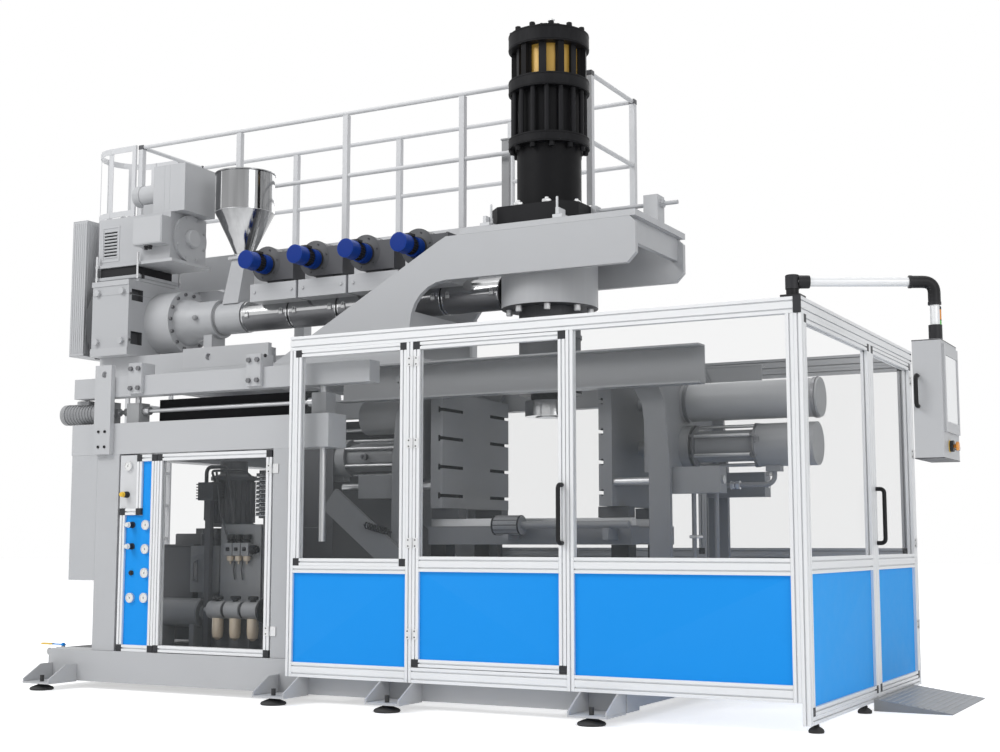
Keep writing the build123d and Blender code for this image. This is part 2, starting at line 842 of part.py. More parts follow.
lower_plate = (gearbox_top + 26.0, gearbox_top + 26.0 + motor_plate)
upper_plate = (motor_z[0] - seat - motor_plate, motor_z[0] - seat)
stud_x = (motor_x[0] + 20, gearbox_x[1] + 20)
terminal_x = (-2400.0, -2110.0)
terminal_z = (3265.0, 3480.0)
terminal_deep = 110.0

with BuildPart() as drive_motor:
    block(motor_x, motor_y, motor_z)
    rod_x((motor_x[0] - 1, motor_x[0] + 65), *motor_axis, 30.0 + running, mode=Mode.SUBTRACT)
    rod_x((motor_x[1] - 1, motor_x[1] + 28), *motor_axis, motor_disc_radius - 10)
    rod_x((motor_x[1] + 27, motor_x[1] + 62), *motor_axis, 72.0)
    # Cooling slots in the left part
    for k in range(8):
        z = motor_z[0] + 70 + 26 * k
        block(
            (motor_x[0] + 60, motor_x[0] + 190),
            (motor_y[0] - 1, motor_y[0] + 10),
            (z, z + 12),
            mode=Mode.SUBTRACT,
        )
    # Two base plates, the block between them and the four studs that set their height
    block((gearbox_x[0] - 60, gearbox_x[1] + 20), (motor_y[0] - 20, motor_y[1] + 20), lower_plate)
    block((motor_x[0] - 10, motor_x[1] + 40), (motor_y[0] - 20, motor_y[1] + 20), upper_plate)
    block(
        (gearbox_x[0] - 20, gearbox_x[1] - 30),
        (motor_y[0], motor_y[1]),
        (lower_plate[1] + seat, upper_plate[0] - seat),
    )
    for x in (gearbox_x[0] + 40, gearbox_x[1] - 40):
        block((x - 50, x + 50), (motor_y[0], motor_y[1]), (gearbox_top + seat, lower_plate[0] - joint_gap))
    for x in stud_x:
        for y in (motor_y[0] - 34, motor_y[1] + 34):
            rod_z(x, y, (lower_plate[0] - 12, upper_plate[1] + 70), 9.0)
            block(
                (x - 16, x + 16),
                ordered(y, y + (15 if y < 0 else -15)),
                (lower_plate[0], lower_plate[1]),
            )
            block(
                (x - 16, x + 16),
                ordered(y, y + (15 if y < 0 else -15)),
                (upper_plate[0], upper_plate[1]),
            )
    block(terminal_x, (motor_y[0] - terminal_deep, motor_y[0] - seat), terminal_z)
    block(fan_x, (-300.0, 65.0), (motor_z[1] + seat, fan_top))
    rod_x((-2560.0, fan_x[0] - joint_gap), -125.0, fan_motor_z, 80.0)
    rod_x((-2625.0, -2560.0 - joint_gap), -125.0, fan_motor_z, 86.0)
    block((-2540.0, -2420.0), (-165.0, -85.0), (motor_z[1] + seat, fan_motor_z - 80 - joint_gap))
keep(drive_motor, "drive_motor")

# Feed housing, barrel and hopper
feed_x = (gearbox_x[1] + seat, flange_right, feed_right, barrel_left - 10)
throat_z = axis_z + collar_radius
with BuildPart() as gearbox:
    block(gearbox_x, both(gearbox_half), (gearbox_z[0] + 40, gearbox_top - 40))
    plinth_x = (gearbox_x[0] - gearbox_lip, gearbox_x[1])
    block(plinth_x, both(gearbox_half + gearbox_lip), (cradle_top + seat, gearbox_z[0] + 40))
    block(plinth_x, both(gearbox_half + gearbox_lip), (gearbox_top - 40, gearbox_top))
    for side in (-1, 1):
        for z in ((2510.0, 2610.0), (2850.0, 2940.0)):
            block(
                (gearbox_x[1] - 45, gearbox_x[1] + 1),
                side_span(side, 262.0, gearbox_half - 32),
                z,
                mode=Mode.SUBTRACT,
            )
    # Hub and disc on the belt side, the disc cut flat above and below
    disc_x = (gearbox_x[0] - 75, gearbox_x[0] + 10)
    rod_x((gearbox_x[0] - 150, gearbox_x[0] + 10), 0, axis_z, 160.0)
    rod_x(disc_x, 0, axis_z, drive_disc_radius)
    for z in (
        (gearbox_top, axis_z + drive_disc_radius + 1),
        (axis_z - drive_disc_radius - 1, cradle_top + seat),
    ):
        block((disc_x[0] - 1, disc_x[1] + 1), both(drive_disc_radius), z, mode=Mode.SUBTRACT)
    rod_x((gearbox_x[0] - 151, gearbox_x[0] + 60), 0, axis_z, 40.0 + running, mode=Mode.SUBTRACT)
    for dx in (60.0, gearbox_x[1] - gearbox_x[0] - 60):
        for z in (gearbox_z[0] + 90, gearbox_top - 90):
            hexagon(
                Plane((gearbox_x[0] + dx, -gearbox_half, z), x_dir=(1, 0, 0), z_dir=(0, -1, 0)),
                46.0,
                26.0,
            )
    rod_x((feed_x[0], feed_x[1]), 0, axis_z, flange_radius)
    with Locations((feed_x[1] + 55, 0, axis_z)):
        Cone(shoulder_radius, feed_radius, 110, rotation=(0, 90, 0))
    rod_x((feed_x[1] - 1, feed_x[2]), 0, axis_z, feed_radius)
    rod_x((feed_x[2] - 1, feed_x[3]), 0, axis_z, collar_radius)
    block((feed_x[2] - 120, feed_x[2] - 40), both(80.0), (cradle_top + seat, axis_z))
    rod_x((feed_x[0] - 1, feed_x[3] + 1), 0, axis_z, bore_radius + running, mode=Mode.SUBTRACT)
    rod_z(hopper_x - neck_lean, 0, (axis_z, throat_z + 1), throat_radius - 10, mode=Mode.SUBTRACT)
keep(gearbox, "gearbox")

zone_x = [barrel_left + zone_long * k for k in range(zone_count + 1)] + [head_x - body_radius - seat]

with BuildPart() as barrel:
    for left, right in zip(zone_x[:-1], zone_x[1:]):
        rod_x((left + seat, right - seam), 0, axis_z, cover_radius)
    rod_x((zone_x[0], zone_x[-1]), 0, axis_z, barrel_radius + seat, mode=Mode.SUBTRACT)
    rod_x((feed_x[3] + seat, head_x - body_radius - seat), 0, axis_z, barrel_radius)
    rod_x((feed_x[3], head_x - body_radius), 0, axis_z, bore_radius + running, mode=Mode.SUBTRACT)
keep(barrel, "barrel")

with BuildPart() as hopper:
    block((hopper_x - 90, hopper_x + 90), both(85.0), (hopper_low - 20, hopper_low - seat))
    with BuildSketch(Plane.XY.offset(hopper_low - 20)) as upper:
        with Locations((hopper_x, 0)):
            Rectangle(130, 130)
    with BuildSketch(Plane.XY.offset(throat_z - 20)) as lower:
        with Locations((hopper_x - neck_lean, 0)):
            Rectangle(150, 170)
    loft([upper.sketch.face(), lower.sketch.face()])
    rod_x((feed_x[2] + 1, barrel_left), 0, axis_z, collar_radius + seat, mode=Mode.SUBTRACT)
    with BuildSketch(Plane.XY.offset(hopper_low)) as upper_bore:
        with Locations((hopper_x, 0)):
            Circle(throat_radius)
    with BuildSketch(Plane.XY.offset(throat_z - 40)) as lower_bore:
        with Locations((hopper_x - neck_lean, 0)):
            Circle(throat_radius - 10)
    loft([upper_bore.sketch.face(), lower_bore.sketch.face()], mode=Mode.SUBTRACT)
    turned(
        hopper_x,
        0,
        [
            (hopper_radius, hopper_top), (hopper_radius + hopper_rim, hopper_top),
            (hopper_radius + hopper_rim, hopper_top - 16), (hopper_radius + hopper_wall, hopper_top - 16),
            (hopper_radius + hopper_wall, hopper_waist), (hopper_outlet + hopper_wall, hopper_low),
            (hopper_outlet, hopper_low), (hopper_radius, hopper_waist),
        ],
    )
    # Hairline seams between the eight sheets of the cone and of the drum
    for k in range(4):
        with Locations(Location((hopper_x, 0, (hopper_low + hopper_top) / 2), (0, 0, 45 * k))):
            Box(3 * hopper_radius, joint_gap, hopper_top - hopper_low, mode=Mode.SUBTRACT)
    with Locations((hopper_x, 0, hopper_waist)):
        Box(3 * hopper_radius, 3 * hopper_radius, joint_gap, mode=Mode.SUBTRACT)
keep(hopper, "hopper")

# One blower on each of the first four zones
blower_places = [barrel_left + zone_long * (k + 0.5) + 80 for k in range(zone_count)]

with BuildPart() as blowers:
    for x in blower_places:
        duct_x = (x + duct_shift - duct_wide / 2, x + duct_shift + duct_wide / 2)
        block(duct_x, (duct_front, 130.0), duct_z)
        for bolt in (duct_x[0] + 40, duct_x[1] - 40):
            hexagon(Plane((bolt, duct_front, 2842.0), x_dir=(1, 0, 0), z_dir=(0, -1, 0)), 22.0, 8.0)
        block((x, x + 150), (-180.0, -80.0), (duct_z[1] + joint_gap, drum_z - drum_radius - joint_gap))
    rod_x((feed_x[3], head_x), 0, axis_z, cover_radius + seat, mode=Mode.SUBTRACT)
    for x in blower_places:
        rod_y(x, drum_y, drum_z, drum_radius)
        block((x + 20, x + drum_outlet), drum_y, (drum_z - drum_radius, drum_z + 80))
        for near, far, wide in (
            (seat, 70.0, 4.0),
            (70.0 + joint_gap, 150.0, -14.0),
            (150.0 + joint_gap, 250.0, 0.0),
        ):
            rod_y(x, (drum_y[0] - far, drum_y[0] - near), drum_z - 8, fan_motor_radius + wide)
keep(blowers, "blowers")

# Gantry: two side plates with an arch, and the plate that carries the head
arch_r = 280.0
arch_low = gantry_under - arch_r
side_top = gantry_top - gantry_plate - joint_gap
side_outline = [(gantry_toe, carriage_top + seat), (-666.0, 2473.0), (330.0, 3020.0), (400.0, side_top)]
side_outline += [
    (gantry_right - 40, side_top),
    (gantry_right, side_top - 40),
    (gantry_right, gantry_under + 60),
]
side_outline += [(gantry_right - 60, gantry_under), (gantry_arch + arch_r, gantry_under)]
for k in range(1, 7):
    angle = radians(15 * k)
    side_outline.append((gantry_arch + arch_r - arch_r * sin(angle), arch_low + arch_r * cos(angle)))
side_outline.append((gantry_arch, carriage_top + seat))

# Head: accumulator above the gantry
base_z = (gantry_top + seat, base_high)

with BuildPart() as head_cylinder:
    with BuildSketch(Plane.XY.offset(base_z[0])) as outline:
        with Locations((head_x, 0)):
            Rectangle(2 * base_half, 2 * base_half)
        chamfer(outline.vertices(), base_chamfer)
    extrude(outline.sketch, amount=base_z[1] - base_z[0])
    rod_z(head_x, 0, (base_z[0] - 1, base_z[1] + 1), stand_radius + seat, mode=Mode.SUBTRACT)
    rod_z(head_x, 0, (gantry_top - gantry_plate, lower_flange[0] + 1), stand_radius)
    rod_z(head_x, 0, lower_flange, flange_outer)
    rod_z(head_x, 0, (lower_flange[1] - 1, middle_flange[0] + 1), cylinder_radius)
    rod_z(head_x, 0, middle_flange, flange_outer)
    rod_z(
        head_x,
        0,
        (ram_bottom - ram_stroke - 20, middle_flange[1] + 1),
        ram_radius + running,
        mode=Mode.SUBTRACT,
    )
    # Window bars between the upper flanges
    for k in range(6):
        angle = radians(60 * k + 15)
        x, y = head_x + 240.0 * cos(angle), 240.0 * sin(angle)
        with Locations(Location((x, y, (middle_flange[1] + upper_flange[0]) / 2), (0, 0, 60 * k + 15))):
            Box(window_bar, window_bar, upper_flange[0] - middle_flange[1] + 2)
    rod_z(head_x, 0, upper_flange, flange_outer)
    rod_z(head_x, 0, (upper_flange[1] - 1, 4540.0), 150.0)
    rod_z(head_x, 0, (4539.0, 4625.0), 34.0)
    for k in range(tie_count):
        angle = radians(360 * k / tie_count)
        x, y = head_x + tie_circle * cos(angle), tie_circle * sin(angle)
        rod_z(x, y, (lower_flange[1] + seat, middle_flange[0] - seat), tie_radius)
keep(head_cylinder, "head_cylinder")

with BuildPart() as head_nuts:
    for k in range(8):
        angle = radians(45 * k + 22.5)
        hexagon(Plane((head_x + 276.0 * cos(angle), 276.0 * sin(angle), base_high + seat)), 60.0, 34.0)
        hexagon(Plane((head_x + 276.0 * cos(angle), 276.0 * sin(angle), body_low - seat - 40)), 46.0, 40.0)
    for k in range(stud_count):
        angle = radians(360 * k / stud_count)
        x, y = head_x + 252.0 * cos(angle), 252.0 * sin(angle)
        hexagon(Plane((x, y, upper_flange[1] + seat)), 38.0, 30.0)
        hexagon(Plane((x, y, lower_flange[0] - seat - 32)), 38.0, 32.0)
keep(head_nuts, "head_nuts")

with BuildPart() as accumulator_ram:
    rod_z(head_x, 0, (ram_bottom, ram_top), ram_radius)
keep(accumulator_ram, "accumulator_ram")

body_top = gantry_top - gantry_plate - seat
pin_rod = 30.0
pin_gap = 12.0

with BuildPart() as head_body:
    rod_z(head_x, 0, (body_low, body_top), body_radius)
    rod_z(head_x, 0, (2036.0, body_low + 1), neck_radius)
    rod_z(head_x, 0, (die_z[1] + seat, 2037.0), 130.0)
    rod_z(head_x, 0, (die_z[1], 2400.0), pin_rod + running, mode=Mode.SUBTRACT)
    rod_x((head_x - body_radius - 1, head_x), 0, axis_z, melt_radius, mode=Mode.SUBTRACT)
    turned(
        head_x,
        0,
        [
            (130.0 + seat, neck_low),
            (neck_radius + 4, neck_low),
            (neck_radius + 4, 2032.0),
            (130.0 + seat, 2032.0),
        ],
    )
    for low in (2180.0, 2360.0):
        turned(
            head_x,
            0,
            [
                (neck_radius + seat, low),
                (neck_radius + 8, low),
                (neck_radius + 8, low + 24),
                (neck_radius + seat, low + 24),
            ],
        )
    rod_z(head_x, 0, die_z, die_radius)
    rod_z(head_x, 0, (die_z[0] - 1, die_z[1] + 1), pin_radius + pin_gap, mode=Mode.SUBTRACT)
keep(head_body, "head_body")

with BuildPart() as die_pin:
    rod_z(head_x, 0, (die_z[0] - 6, die_z[1] - 30), pin_radius)
    rod_z(head_x, 0, (die_z[1] - 31, 2350.0), pin_rod)
keep(die_pin, "die_pin")

with BuildPart() as gantry:
    for side in (-1, 1):
        outline_xz(side_outline, side_span(side, gantry_half - gantry_plate, gantry_half))
    block((gantry_left, gantry_right), both(gantry_half), (gantry_top - gantry_plate, gantry_top))
    block(
        (1390.0, 1700.0),
        both(330.0),
        (gantry_top - gantry_plate - 1, gantry_top + 1),
        mode=Mode.SUBTRACT,
    )
    rod_z(
        head_x,
        0,
        (gantry_top - gantry_plate - 1, gantry_top + 1),
        stand_radius + seat,
        mode=Mode.SUBTRACT,
    )
    block(
        (gantry_arch - 60, gantry_arch - 20),
        both(gantry_half - gantry_plate - joint_gap),
        (2450.0, 2575.0),
    )
    block(
        (gantry_right - 80, gantry_right - 40),
        both(gantry_half - gantry_plate - joint_gap),
        (2900.0, side_top),
    )
    block((1690.0, gantry_right), (-60.0, 60.0), (gantry_top + seat, 3270.0))
    rod_x((head_x + base_half + seat, 1910.0), 0, 3215.0, 14.0)
    hexagon(Plane((gantry_right, 0, 3215.0), x_dir=(0, 1, 0), z_dir=(1, 0, 0)), 50.0, 24.0)
    block((head_x + base_half + 1, head_x + base_half + 40), (-40.0, 40.0), (3185.0, 3245.0))
keep(gantry, "gantry")

# Walkway with its rail and ladder
walk_inner = (walk_front + side_plate + joint_gap, walk_rear - side_plate - joint_gap)
post_x = [
    walk_left + rail_post / 2 + (walk_right - walk_left - rail_post) * k / rail_spans
    for k in range(rail_spans + 1)
]
rail_y_places = (walk_front + rail_post / 2, walk_rear - rail_post / 2)
support_places = (-1905.0, -300.0)
gate = (walk_front, walk_front + ladder_wide)

with BuildPart() as walkway:
    for y in ((walk_front, walk_front + side_plate), (walk_rear - side_plate, walk_rear)):
        block((walk_left, walk_right), y, walk_z)
    for x in ((walk_left, walk_left + side_plate), (walk_right - side_plate, walk_right)):
        block(x, walk_inner, walk_z)
    floor_x = (walk_left + side_plate + joint_gap, walk_right - side_plate - joint_gap)
    block(floor_x, walk_inner, (deck_z, deck_z + 6))
    for k in range(1, 8):
        x = walk_left + (walk_right - walk_left) * k / 8
        block((x - 30, x + 30), walk_inner, (deck_z - 80, deck_z - joint_gap))
    for x in support_places:
        block(
            (x - 50, x + 50),
            side_span(1, -column_front - platform_deep + 5, -column_front - guide_gap - 5),
            (platform_top + joint_gap, walk_z[0] - joint_gap),
        )
        block(
            (x - 50, x + 50),
            (walk_front, -column_front - platform_deep + 5 - joint_gap),
            (walk_z[0] - 100, walk_z[0] - joint_gap),
        )
    for y in rail_y_places:
        for x in post_x:
            block(
                (x - rail_post / 2, x + rail_post / 2),
                (y - rail_post / 2, y + rail_post / 2),
                (walk_z[1] + joint_gap, rail_top - 2 * rail_radius),
            )
        for left, right in zip(post_x[:-1], post_x[1:]):
            rod_x(
                (left + rail_post / 2 + joint_gap, right - rail_post / 2 - joint_gap),
                y,
                rail_middle,
                rail_radius,
            )
        rod_x((walk_left, walk_right), y, rail_top - rail_radius + joint_gap, rail_radius)
    end_y = (rail_y_places[0] + rail_post / 2 + joint_gap, rail_y_places[1] - rail_post / 2 - joint_gap)
    rod_y(post_x[-1], end_y, rail_middle, rail_radius)
    rod_y(post_x[-1], end_y, rail_top - rail_radius, rail_radius)
    rod_y(post_x[0], (gate[1] + 20, end_y[1]), rail_middle, rail_radius)
    rod_y(post_x[0], end_y, rail_top - rail_radius, rail_radius)
keep(walkway, "walkway")

stile_x = (walk_left - 45.0, walk_left - 5.0)
stile_y = (gate[0] - 20.0, gate[1] + 20.0)
cage_half = (stile_y[1] - stile_y[0]) / 2
cage_y = sum(stile_y) / 2
cage_centre = walk_left - cage_reach + cage_half


def hoop_pieces():
    """Short lengths of a hoop, a half circle with two straight ends, each with its four corners."""
    outer, inner = cage_half + cage_strip, cage_half
    slack = degrees(joint_gap / cage_half)
    for side in (-1, 1):
        x = (cage_centre + joint_gap, stile_x[0] - joint_gap)
        y = (cage_y + side * inner, cage_y + side * outer)
        yield [(x[0], y[0]), (x[1], y[0]), (x[1], y[1]), (x[0], y[1])]
    for k in range(6):
        start, middle, end = radians(30 * k), radians(30 * k + 15), radians(30 * (k + 1) - slack)
        points = [
            (r * sin(a), r * cos(a))
            for r, turn in ((outer, 1), (inner, -1)) for a in (start, middle, end)[::turn]
        ]
        yield [(cage_centre - u, cage_y - v) for u, v in points]


with BuildPart() as ladder:
    for y in stile_y:
        block(stile_x, (y - 10, y + 10), (ladder_low, rail_top))
    rungs = int((walk_z[1] - ladder_low) / rung_pitch)
    for k in range(rungs):
        rod_y(
            sum(stile_x) / 2,
            (stile_y[0] + 10 + joint_gap, stile_y[1] - 10 - joint_gap),
            ladder_low + rung_pitch * (k + 0.6),
            rung_radius,
        )
    for z in (walk_z[0] + 60, walk_z[1] - 60):
        for y in stile_y:
            block(
                (stile_x[1] + joint_gap, walk_left - joint_gap),
                (y - 10, y + 10),
                (z - 20, z + 20),
            )
    for k in range(hoop_count):
        z = cage_low + (rail_top - cage_low - cage_band) * k / (hoop_count - 1)
        for corners in hoop_pieces():
            with BuildSketch(Plane.XY.offset(z)) as hoop:
                Polygon(*corners, align=None)
            extrude(hoop.sketch, amount=cage_band)
    for angle in (0, 45, 90, 135, 180):
        inner = cage_half - cage_strip - joint_gap
        x = cage_centre - (inner + cage_strip / 2) * sin(radians(angle))
        y = cage_y - (inner + cage_strip / 2) * cos(radians(angle))
        with Locations(Location((x, y, (cage_low + rail_top) / 2), (0, 0, 90 - angle))):
            Box(cage_strip - 1, cage_band, rail_top - cage_low)
keep(ladder, "ladder")

# Clamp
sides = ((-1, "left"), (1, "right"))


def reach_span(side, near, far):
    """Values of x between two distances from the head's axis, on the left (-1) or right (1)."""
    return ordered(head_x + side * near, head_x + side * far)


platen_back = platen_reach + platen_thick
guide_rod = 25.0
guide_box = 720.0  # from the head's axis to the near end of a guide housing
guide_box_long = 400.0
guide_y = 430.0
guide_z = (1290.0, 1450.0)
shoe = (platen_reach - 60, platen_back + 60)
tube_end = {side: yoke_reach[side] + head_back + tube_long[side] for side in (-1, 1)}

for side, name in sides:
    with BuildPart() as platen:
        block(reach_span(side, platen_reach, platen_back), both(platen_half), platen_z)
        for z in slot_z:
            for face in (-1, 1):
                across = side_span(face, slot_inner, platen_half + 1)
                mouth = reach_span(side, platen_reach - 1, platen_reach + platen_slot)
                wider = reach_span(side, platen_reach + platen_slot - 1, platen_reach + platen_slot + 14)
                block(mouth, across, (z - slot_mouth / 2, z + slot_mouth / 2), mode=Mode.SUBTRACT)
                block(wider, across, (z - 20, z + 20), mode=Mode.SUBTRACT)
        rod_x(reach_span(side, platen_back - 10, tube_end[side] - 30), 0, clamp_z, rod_radius)
        rod_x(reach_span(side, platen_back - 10, yoke_reach[side] + 37 + 600), 0, upper_z, upper_rod)
        for y in (-guide_y, guide_y):
            rod_x(
                reach_span(side, platen_back - 10, guide_box + guide_box_long + 260),
                y,
                sum(guide_z) / 2,
                guide_rod,
            )
        for y in (-rail_y, rail_y):
            block(reach_span(side, *shoe), (y - 50, y + 50), (rail_z[1] + seat, platen_z[0] - seat))
    keep(platen, f"{name}_platen")

bed_reach = 740.0
with BuildPart() as clamp_bed:
    for y in (-rail_y, rail_y):
        block(reach_span(1, -bed_reach, bed_reach), (y - 60, y + 60), bed_z)
        block(
            reach_span(1, -bed_reach + 10, bed_reach - 10),
            (y - 35, y + 35),
            (bed_z[1] + joint_gap, rail_z[1]),
        )
        for reach in (-bed_reach + 80, bed_reach - 80):
            block(
                (head_x + reach - 60, head_x + reach + 60),
                (y - 60, y + 60),
                (base_top + seat, bed_z[0] - joint_gap),
            )
    for reach in (-bed_reach + 80, 0, bed_reach - 80):
        block(
            (head_x + reach - 50, head_x + reach + 50),
            both(rail_y - 60 - joint_gap),
            (bed_z[0] + 10, bed_z[1] - 10),
        )
    # Small cylinder with its rod in front of the bed
    rod_x(side_cylinder_x, side_cylinder_y, side_cylinder_z, 62.0)
    rod_x((side_cylinder_x[1] + joint_gap, 1740.0), side_cylinder_y, side_cylinder_z, 24.0)
    for x, radius in ((sum(side_cylinder_x) / 2, 62.0), (1600.0, 24.0)):
        high = (1010.0, side_cylinder_z - radius + 4)
        block((x - 20, x + 20), (side_cylinder_y - 45, -rail_y - 60 - joint_gap), high)
keep(clamp_bed, "clamp_bed")

yoke_points = [(0.0, base_top + seat), (0.0, 1480.0), (-38.0, 1830.0), (-yoke_lean, yoke_top)]
yoke_points += [
    (-yoke_lean + 190, yoke_top),
    (yoke_band - 30, 1850.0),
    (yoke_band, 1480.0),
    (yoke_band, base_top + seat),
]

with BuildPart() as clamp_channels:
    for side in (-1, 1):
        near, far = yoke_half + joint_gap, yoke_half + channel_deep
        span = reach_span(1, -channel_reach, channel_reach)
        high = (yoke_top - channel_high, yoke_top)
        block(
            span,
            side_span(side, near, near + channel_wall),
            (high[0] + channel_wall + joint_gap, high[1] - channel_wall - joint_gap),
        )
        block(span, side_span(side, near, far), (high[0], high[0] + channel_wall))
        block(span, side_span(side, near, far), (high[1] - channel_wall, high[1]))
        rod_y(
            head_x - 800,
            side_span(side, near + channel_wall - 1, near + channel_wall + 20),
            sum(high) / 2,
            72.0,
        )
keep(clamp_channels, "clamp_channels")

with BuildPart() as clamp_cylinders:
    for side, name in sides:
        reach = yoke_reach[side]
        rod_x(reach_span(side, reach - head_long, reach + head_back), 0, clamp_z, head_radius)
        rod_x(reach_span(side, reach + head_back - 1, tube_end[side] + 1), 0, clamp_z, tube_radius)
        rod_x(
            reach_span(side, tube_end[side], tube_end[side] + cap_long[side]),
            0,
            clamp_z,
            head_radius - 2,
        )
        rod_x(
            reach_span(side, reach - head_long - 1, reach + head_back + 5),
            0,
            clamp_z,
            rod_radius + running,
            mode=Mode.SUBTRACT,
        )
        rod_x(
            reach_span(side, reach + head_back, tube_end[side]),
            0,
            clamp_z,
            tube_bore,
            mode=Mode.SUBTRACT,
        )
        rod_x(reach_span(side, reach + 37 + seat, reach + 37 + upper_long[side]), 0, upper_z, upper_radius)
        rod_x(
            reach_span(side, reach + 37, reach + 37 + 620),
            0,
            upper_z,
            upper_rod + running,
            mode=Mode.SUBTRACT,
        )
        # Port block on the end cap
        block(
            reach_span(side, tube_end[side] + 60, tube_end[side] + 150),
            (-40, 40),
            (clamp_z - head_radius - 30, clamp_z - head_radius + 20),
        )
    for side, name in sides:
        for k in range(6):
            angle = radians(60 * k + 30)
            rod_x(
                reach_span(side, yoke_reach[side] + head_back + seat, tube_end[side] - seat),
                tie_bar_circle * cos(angle), clamp_z + tie_bar_circle * sin(angle), tie_bar,
            )
keep(clamp_cylinders, "clamp_cylinders")

pipe_radius = 15.0
port_x = head_x + tube_end[1] + 105
with BuildPart() as hydraulic_pipes:
    low = clamp_z - head_radius - 30 - seat
    pipe(
        [(port_x, 0, low), (port_x, 0, low - 80), (1990.0, 0, low - 80), (1990.0, 0, base_top + seat)],
        pipe_radius,
        55.0,
    )
    pipe(
        [
            (2120.0, 60.0, 1510.0),
            (2120.0, 60.0, 420.0),
            (1960.0, 60.0, 420.0),
            (1960.0, 60.0, base_top + seat),
        ],
        pipe_radius,
        55.0,
    )
keep(hydraulic_pipes, "hydraulic_pipes")

brace_a = (-430.0, 1290.0)
brace_b = (160.0, 826.0)
brace_wide = 170.0
brace_thick = 40.0
brace_long = ((brace_b[0] - brace_a[0]) ** 2 + (brace_b[1] - brace_a[1]) ** 2) ** 0.5
brace_middle = ((brace_a[0] + brace_b[0]) / 2, (brace_a[1] + brace_b[1]) / 2)
brace_turn = degrees(atan2(brace_a[1] - brace_b[1], brace_b[0] - brace_a[0]))
with BuildPart() as clamp_frame:
    for side, name in sides:
        for face in (-1, 1):
            outline_xz(
                [(head_x + side * (yoke_reach[side] + u), w) for u, w in yoke_points],
                side_span(face, yoke_half - yoke_plate, yoke_half),
            )
        block(
            reach_span(side, yoke_reach[side] - 43, yoke_reach[side] + 37),
            both(yoke_half - yoke_plate - joint_gap),
            (1420.0, 2040.0),
        )
        rod_x(
            reach_span(side, yoke_reach[side] - 50, yoke_reach[side] + 50),
            0,
            clamp_z,
            head_radius + seat,
            mode=Mode.SUBTRACT,
        )
        rod_x(
            reach_span(side, yoke_reach[side] - 50, yoke_reach[side] + 50),
            0,
            upper_z,
            upper_rod + running,
            mode=Mode.SUBTRACT,
        )
        for y in (-guide_y, guide_y):
            rod_x(
                reach_span(side, yoke_reach[side] - 50, yoke_reach[side] + 50),
                y,
                sum(guide_z) / 2,
                guide_rod + 2,
                mode=Mode.SUBTRACT,
            )
    for side, name in sides:
        far = ordered(
            side * (yoke_reach[side] + 37 + seat),
            side * (yoke_reach[side] + 37 + seat + guide_box_long),
        )
        for y in (-guide_y, guide_y):
            block((head_x + far[0], head_x + far[1]), (y - 60, y + 60), guide_z)
            rod_x(
                (head_x + far[0] - 1, head_x + far[1] + 1),
                y,
                sum(guide_z) / 2,
                guide_rod + running,
                mode=Mode.SUBTRACT,
            )
    for side in (-1, 1):
        with Locations(
            Location(
                (brace_middle[0], side * (yoke_half + brace_thick / 2 + joint_gap), brace_middle[1]),
                (0, brace_turn, 0),
            )
        ):
            Box(brace_long, brace_thick, brace_wide)
keep(clamp_frame, "clamp_frame")

# Control strip beside the cabinet door
step_rail = (step_z, step_z + profile)
bottom_bar = (cabinet_z[0], cabinet_z[0] + profile)
top_bar = (cabinet_z[1] - profile, cabinet_z[1])

sheet_y = cabinet_wall((0, 1), (0, 1), panel_thick)[1]
with BuildPart() as guard_panels:
    sheet(front_wall, left_bay, (bottom_rail[1], left_waist_rail[0]))
    sheet(front_wall, right_bay, (bottom_rail[1], waist_rail[0]))
    for bay in rear_bays:
        sheet(rear_wall, bay, (bottom_rail[1], waist_rail[0]))
    sheet(end_wall, *leaf_opening(end_leaf, high=end_waist_rail[0]))
    low = (strip_inner + corner_cut, strip_right - profile - corner_cut)
    high = (step_right + corner_cut, strip_right - profile - corner_cut)
    block(low, sheet_y, (bottom_bar[1] - panel_grip, step_z - corner_cut))
    block(
        (low[0] - corner_cut - panel_grip, low[1] + corner_cut + panel_grip),
        sheet_y,
        (bottom_bar[1] + corner_cut, step_z - corner_cut),
    )
    block(high, sheet_y, (step_z - 2 * corner_cut, top_bar[0] + panel_grip))
    block(
        (high[0], high[1] + corner_cut + panel_grip),
        sheet_y,
        (step_z - 2 * corner_cut, top_bar[0] - corner_cut),
    )
keep(guard_panels, "guard_panels")

plate_x = (strip_left - 15, step_left - joint_gap)
plate_z = (step_rail[1] + joint_gap, cabinet_z[1])
with BuildPart() as strip_frame:
    slotted_bar(
        *cabinet_wall((strip_left, strip_inner), (bottom_bar[1] + joint_gap, step_z - joint_gap)),
        "z",
    )
    slotted_bar(
        *cabinet_wall(
            (strip_right - profile, strip_right),
            (bottom_bar[1] + joint_gap, top_bar[0] - joint_gap),
        ),
        "z",
    )
    slotted_bar(
        *cabinet_wall((step_left, step_right), (step_rail[1] + joint_gap, top_bar[0] - joint_gap)),
        "z",
    )
    slotted_bar(*cabinet_wall(inside((strip_inner, strip_right - profile)), bottom_bar), "x")
    slotted_bar(*cabinet_wall(inside((strip_inner, step_left)), step_rail), "x")
    slotted_bar(*cabinet_wall(inside((step_right, strip_right - profile)), top_bar), "x")
    block(plate_x, (sheet_y[0] - 8, sheet_y[0]), plate_z)
keep(strip_frame, "strip_frame")

